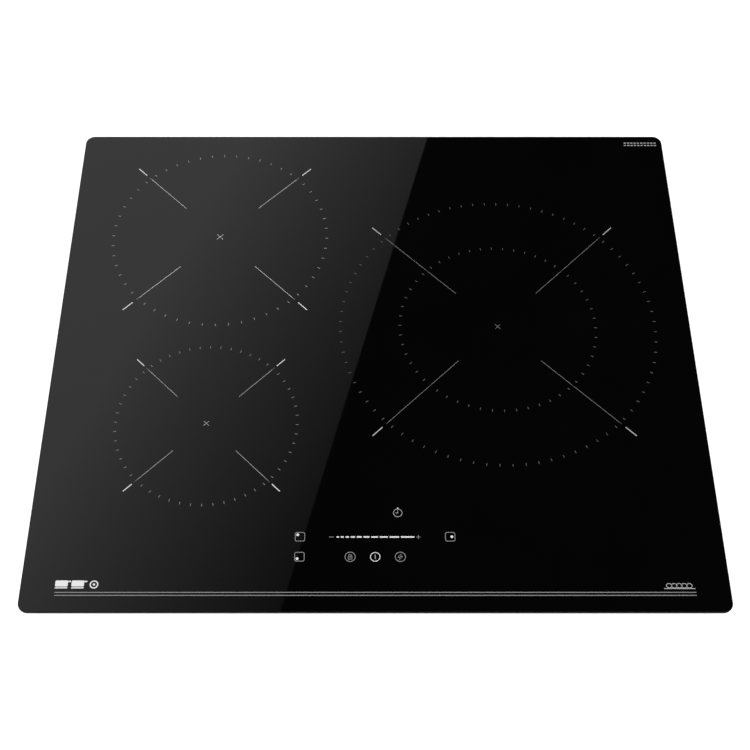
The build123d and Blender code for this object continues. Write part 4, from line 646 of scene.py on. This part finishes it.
# Key symbols. A print island is told by its width: round keys, zone keys, and the rest.
ROUND_KEY_LEAST = 9.0 * MM
ZONE_KEY_LEAST = 5.0 * MM
KEY_LINE = 0.50 * MM
THIN_STROKE = 0.42 * MM
KEY_RING_RADIUS = 4.3 * MM
TIMER_DROP = 0.45 * MM
TIMER_RADIUS = 3.65 * MM
TIMER_CROWN_WIDTH = 1.2 * MM
LOCK_BODY = (3.3 * MM, 2.8 * MM)
LOCK_BODY_DROP = 0.9 * MM
LOCK_BODY_CORNER = 0.4 * MM
SHACKLE_RISE = 1.2 * MM
SHACKLE_RADIUS = 1.1 * MM
POWER_RADIUS = 4.0 * MM
POWER_RING_LINE = 0.60 * MM
POWER_BAR_WIDTH = 0.9 * MM
ZONE_KEY_TRIM = 0.25 * MM
ZONE_KEY_CORNER = 1.5 * MM
DOT_SHARE = 0.43
DOT_STEPS = 24


def draw_timer(relief, centre):
    """A stopwatch: ring, crown and two hands."""
    relief.stroke(circle(centre, TIMER_RADIUS), THIN_STROKE, closed=True, slot=MIDDLE)
    relief.stroke(placed(centre, (0, 3.9), (0, 4.9)), TIMER_CROWN_WIDTH)
    relief.stroke(placed(centre, (0, 2.3), (0, 0), (-1.8, 0)), THIN_STROKE, slot=MIDDLE)


def draw_lock(relief, centre):
    """A padlock inside a ring."""
    relief.stroke(circle(centre, KEY_RING_RADIUS), KEY_LINE, closed=True, slot=FAINT)
    middle = (centre[0], centre[1] - LOCK_BODY_DROP)
    body = rounded_loop(middle, *LOCK_BODY, LOCK_BODY_CORNER, steps=3)
    relief.stroke(body, THIN_STROKE, closed=True, slot=FAINT)
    bow = arc((centre[0], centre[1] + SHACKLE_RISE), SHACKLE_RADIUS, 0, 180)
    shackle = placed(centre, (1.1, 0.7)) + bow + placed(centre, (-1.1, 0.7))
    relief.stroke(shackle, THIN_STROKE, slot=FAINT)
    relief.stroke(placed(centre, (-0.9, -0.9), (0.9, -0.9)), THIN_STROKE, slot=FAINT)


def draw_power(relief, centre):
    """A ring with an upright bar."""
    relief.stroke(circle(centre, POWER_RADIUS), POWER_RING_LINE, closed=True)
    relief.stroke(placed(centre, (0, 2.0), (0, -2.0)), POWER_BAR_WIDTH, slot=FAINT)


def draw_boost(relief, centre):
    """The outline of a bolt inside a ring."""
    relief.stroke(circle(centre, KEY_RING_RADIUS), KEY_LINE, closed=True, slot=FAINT)
    left = ((0.9, 2.9), (-1.9, -0.4), (-0.2, -0.4))
    right = ((-0.9, -2.9), (1.9, 0.4), (0.2, 0.4))
    relief.stroke(placed(centre, *left, *right), THIN_STROKE, closed=True, slot=FAINT)


def make_symbols():
    """Key symbols, each where the CAD print has its key."""
    relief = Relief()
    spots = islands("key_symbols_print")
    rounds = [centre for centre, size in spots if size.x > ROUND_KEY_LEAST]
    squares = [spot for spot in spots if ZONE_KEY_LEAST < spot[1].x <= ROUND_KEY_LEAST]
    timer = max(rounds, key=lambda centre: centre.y)
    row = [centre for centre in rounds if centre is not timer]
    lock, power, boost = sorted(row, key=lambda centre: centre.x)
    draw_timer(relief, (timer.x, timer.y - TIMER_DROP))
    draw_lock(relief, lock)
    draw_power(relief, power)
    draw_boost(relief, boost)
    for centre, size in squares:
        width, depth = (side - KEY_LINE - ZONE_KEY_TRIM for side in (size.x, size.y))
        outline = rounded_loop(centre, width, depth, ZONE_KEY_CORNER)
        relief.stroke(outline, KEY_LINE, closed=True, slot=FAINT)
    for centre, size in spots:
        beside_square = any((centre - square).length < side.x for square, side in squares)
        if size.x < ZONE_KEY_LEAST and beside_square:
            relief.filled(circle(centre, size.x * DOT_SHARE, DOT_STEPS))
    piece("key_symbols", relief.mesh, PRINTS, "key_symbols_print")


SLIDER_BAR_LINE = 1.30 * MM
SLIDER_BAR_TRIM = 0.50 * MM
SLIDER_BAR_CORNER = 0.15 * MM


def make_slider():
    """Bars of growing length between a faint minus and a faint plus."""
    relief = Relief()
    minus, *bars, plus = islands("slider_print")
    for centre, size in bars:
        length = size.x - SLIDER_BAR_TRIM
        relief.filled(rounded_loop(centre, length, SLIDER_BAR_LINE, SLIDER_BAR_CORNER, steps=2))
    for centre, size in (minus, plus):
        ends = [(centre.x + side * size.x / 2, centre.y) for side in (-1, 1)]
        relief.stroke(ends, THIN_STROKE, slot=FAINT)
    centre, size = plus
    arm = THIN_STROKE / 2
    for start, end in ((-size.y / 2, -arm), (arm, size.y / 2)):
        ends = [(centre.x, centre.y + start), (centre.x, centre.y + end)]
        relief.stroke(ends, THIN_STROKE, slot=FAINT)
    piece("slider_scale", relief.mesh, PRINTS, "slider_print")


# Corner marks. Front left: two pans over bars, and a zone; front right: coil; rear right: squares.
ROUND_SLACK = 0.2 * MM
RING_LEAST = 4 * MM
RING_LINE = 1.0 * MM
PAN_BODY = 10.5 * MM
PAN_CORNER = 1.0 * MM
PAN_HANDLE = (2.4 * MM, 1.3 * MM)
PAN_HANDLE_DROP = 0.9 * MM
PAN_HANDLE_CORNER = 0.4 * MM
PAN_PITCH = 13.5 * MM
PAN_BAR_MOST = 2.0 * MM
PAN_BAR_CORNER = 0.3 * MM
COIL_LOOPS = 5
COIL_RADIUS = 2.3 * MM
COIL_SQUEEZE = 0.85
COIL_DROP = 2.4 * MM
COIL_SIDE = 2.5 * MM
COIL_LINE = 0.5 * MM
COIL_BASE_LINE = 0.6 * MM
SQUARE_CORNER = 0.2 * MM


def draw_pans(relief, middle, size):
    """Two pans in a row with their handles, or one of the bars under them, inside a box."""
    if size.y < PAN_BAR_MOST:
        relief.filled(rounded_loop(middle, size.x, size.y, PAN_BAR_CORNER, steps=3))
        return
    handle_y = middle.y + size.y / 2 - PAN_HANDLE_DROP
    for left in (middle.x - size.x / 2, middle.x - size.x / 2 + PAN_PITCH):
        body = (left + PAN_BODY / 2, middle.y)
        relief.filled(rounded_loop(body, PAN_BODY, size.y, PAN_CORNER, steps=6))
        handle = (left + PAN_BODY + PAN_HANDLE[0] / 2, handle_y)
        relief.filled(rounded_loop(handle, *PAN_HANDLE, PAN_HANDLE_CORNER, steps=3))


def draw_zone(relief, middle, size):
    """The ring of a small zone, or the dot inside it."""
    if size.x > RING_LEAST:
        relief.stroke(circle(middle, size.x / 2 - RING_LINE / 2), RING_LINE, closed=True)
    else:
        relief.filled(circle(middle, size.x / 2, DOT_STEPS))


def draw_coil(relief, low, high):
    """A row of coil loops over a line."""
    pitch = (high.x - low.x - 2 * COIL_SIDE) / COIL_LOOPS
    for loop in range(COIL_LOOPS):
        centre = (low.x + COIL_SIDE + pitch * (loop + 0.5), high.y - COIL_DROP)
        outline = circle(centre, COIL_RADIUS, squeeze=COIL_SQUEEZE)
        relief.stroke(outline, COIL_LINE, closed=True, slot=MIDDLE)
    base = low.y + COIL_BASE_LINE / 2
    relief.stroke([(low.x, base), (high.x, base)], COIL_BASE_LINE, slot=MIDDLE)


def make_marks():
    """Generic pictograms in three corners, each inside the box of its CAD print."""
    relief = Relief()
    coil_corners = []
    squares = []
    for middle, size in islands("corner_marks_print"):
        if middle.y > 0:
            squares.append((middle, size))
        elif middle.x > 0:
            coil_corners += [middle - size / 2, middle + size / 2]
        elif abs(size.x - size.y) < ROUND_SLACK:
            draw_zone(relief, middle, size)
        else:
            draw_pans(relief, middle, size)
    draw_coil(relief, *corners_of(coil_corners))
    for middle, size in squares:
        outline = rounded_loop(middle, size.x, size.y, SQUARE_CORNER, steps=2)
        relief.filled(outline, MIDDLE)
    piece("corner_marks", relief.mesh, PRINTS, "corner_marks_print")


# ---- Stage: floor, reflected panel, lights ----
def stage_mesh(name, corners, material):
    """A flat stage piece with the given corners."""
    mesh = bpy.data.meshes.new(name)
    mesh.from_pydata(corners, [], [tuple(range(len(corners)))])
    made = bpy.data.objects.new(name, mesh)
    made.data.materials.append(material)
    bpy.context.scene.collection.objects.link(made)
    return made


FLOOR_RADIUS = 12.0
FLOOR_FADE_START = 3.5
FLOOR_SIDES = 96
FLOOR_GLOW = 0.60
FLOOR_GLOW_FAR = 0.53


def make_floor():
    """A pale floor that glows a little, as a lit table does, and fades into the backdrop."""
    made = Shader("pale_floor")
    made.colour(made.ramp(made.noise(1.5), grey(0.60), grey(0.62)))
    made.set(Roughness=0.9, Emission_Color=(1, 1, 1, 1), Specular_IOR_Level=0.0)
    distance = made.node("ShaderNodeVectorMath", operation="LENGTH")
    made.link(made.place.outputs["Object"], distance.inputs[0])
    reach = (FLOOR_FADE_START, FLOOR_RADIUS)
    glow = made.span(distance.outputs["Value"], FLOOR_GLOW, FLOOR_GLOW_FAR, *reach)
    made.link(glow, made.surface.inputs["Emission Strength"])
    outline = [(x, y, 0) for x, y in circle((0, 0), FLOOR_RADIUS, FLOOR_SIDES)]
    stage_mesh("floor", outline, made.material)


# The panel stands square to the camera's view mirrored in the plate, so that places on it are
# slopes of that view. Its right edge shows in the plate as the line from REAR to FRONT.
PANEL_DISTANCE = 2.4
PANEL_EDGE_REAR = Vector((0.0555, 0.260, PLATE_TOP))
PANEL_EDGE_FRONT = Vector((-0.0783, -0.260, PLATE_TOP))
PANEL_TOP = 0.30
PANEL_BOTTOM = -0.62
PANEL_LEFT = -0.45
# Brightness: gain for each unit of slope to the right and up, value in the middle, and its cap.
PANEL_GAIN_RIGHT = -2.53
PANEL_GAIN_UP = 1.494
PANEL_MIDDLE = 0.440
PANEL_FULL = 0.933


def mirrored_view():
    """Place, forward, right and up of the camera mirrored in the plate."""
    place = Vector((CAMERA_PLACE.x, CAMERA_PLACE.y, 2 * PLATE_TOP - CAMERA_PLACE.z))
    forward = Vector((0, math.cos(LOOK_DOWN), math.sin(LOOK_DOWN)))
    up = Vector((0, math.sin(LOOK_DOWN), -math.cos(LOOK_DOWN)))
    return place, forward, Vector((1, 0, 0)), up


def slopes(point):
    """Right and up slopes at which the mirrored view sees a point."""
    place, forward, right, up = mirrored_view()
    ray = point - place
    return ray.dot(right) / ray.dot(forward), ray.dot(up) / ray.dot(forward)


def panel_glow():
    """Light that grows to the left and upwards in the mirrored view, up to a cap."""
    made = Shader("soft_panel")
    split = made.node("ShaderNodeSeparateXYZ")
    made.link(made.place.outputs["Object"], split.inputs["Vector"])
    right = made.scaled(split.outputs["X"], PANEL_GAIN_RIGHT / PANEL_DISTANCE, PANEL_MIDDLE)
    both = made.scaled(split.outputs["Y"], PANEL_GAIN_UP / PANEL_DISTANCE, right)
    capped = made.node("ShaderNodeClamp", Min=0.0, Max=PANEL_FULL)
    made.link(both, capped.inputs["Value"])
    squared = made.node("ShaderNodeMath", operation="MULTIPLY")
    made.link(capped.outputs[0], squared.inputs[0])
    made.link(capped.outputs[0], squared.inputs[1])
    glow = made.node("ShaderNodeEmission")
    made.link(squared.outputs[0], glow.inputs["Strength"])
    made.link(glow.outputs[0], made.tree.nodes["Material Output"].inputs["Surface"])
    return made.material


def make_panel():
    """A soft panel behind and above the hob; its straight edge shows in the plate as a diagonal."""
    place, forward, right, up = mirrored_view()
    rear, front = slopes(PANEL_EDGE_REAR), slopes(PANEL_EDGE_FRONT)
    lean = (rear[0] - front[0]) / (rear[1] - front[1])
    outline = [
        (PANEL_LEFT, PANEL_BOTTOM),
        (front[0] + lean * (PANEL_BOTTOM - front[1]), PANEL_BOTTOM),
        (front[0] + lean * (PANEL_TOP - front[1]), PANEL_TOP),
        (PANEL_LEFT, PANEL_TOP),
    ]
    corners = [(PANEL_DISTANCE * x, PANEL_DISTANCE * y, 0) for x, y in outline]
    panel = stage_mesh("soft_panel", corners, panel_glow())
    turn = Matrix((right, up, -forward)).transposed().to_4x4()
    turn.translation = place + forward * PANEL_DISTANCE
    panel.matrix_world = turn
    panel.visible_camera = False
    panel.visible_diffuse = False
    panel.visible_shadow = False


CEILING_PLACE = (0.0, -1.5, 3.0)
CEILING_SIZE = 4.0
CEILING_POWER = 210.0


def make_ceiling():
    """A large soft light overhead, a little in front of the hob, kept out of reflections."""
    data = bpy.data.lights.new("ceiling", "AREA")
    data.size = CEILING_SIZE
    data.energy = CEILING_POWER
    light = bpy.data.objects.new("ceiling", data)
    light.location = CEILING_PLACE
    light.visible_camera = False
    light.visible_glossy = False
    bpy.context.scene.collection.objects.link(light)


HORIZON = (*grey(0.60), 1)
HORIZON_HEIGHT = 0.12
OVERHEAD = (*grey(0.022), 1)
OVERHEAD_HEIGHT = 0.58


def make_world():
    """Mid grey round the horizon, dark overhead."""
    world = bpy.data.worlds.new("studio")
    bpy.context.scene.world = world
    world.use_nodes = True
    tree = world.node_tree
    place = tree.nodes.new("ShaderNodeTexCoord")
    split = tree.nodes.new("ShaderNodeSeparateXYZ")
    tree.links.new(place.outputs["Generated"], split.inputs["Vector"])
    fall = tree.nodes.new("ShaderNodeValToRGB")
    fall.color_ramp.interpolation = "EASE"
    low, high = fall.color_ramp.elements
    low.position, low.color = HORIZON_HEIGHT, HORIZON
    high.position, high.color = OVERHEAD_HEIGHT, OVERHEAD
    tree.links.new(split.outputs["Z"], fall.inputs["Fac"])
    tree.links.new(fall.outputs["Color"], tree.nodes["Background"].inputs["Color"])


make_camera()
dress_frame()
make_plate()
make_symbols()
make_slider()
make_marks()
make_floor()
make_panel()
make_ceiling()
make_world()
bpy.context.scene.view_settings.view_transform = "Standard"
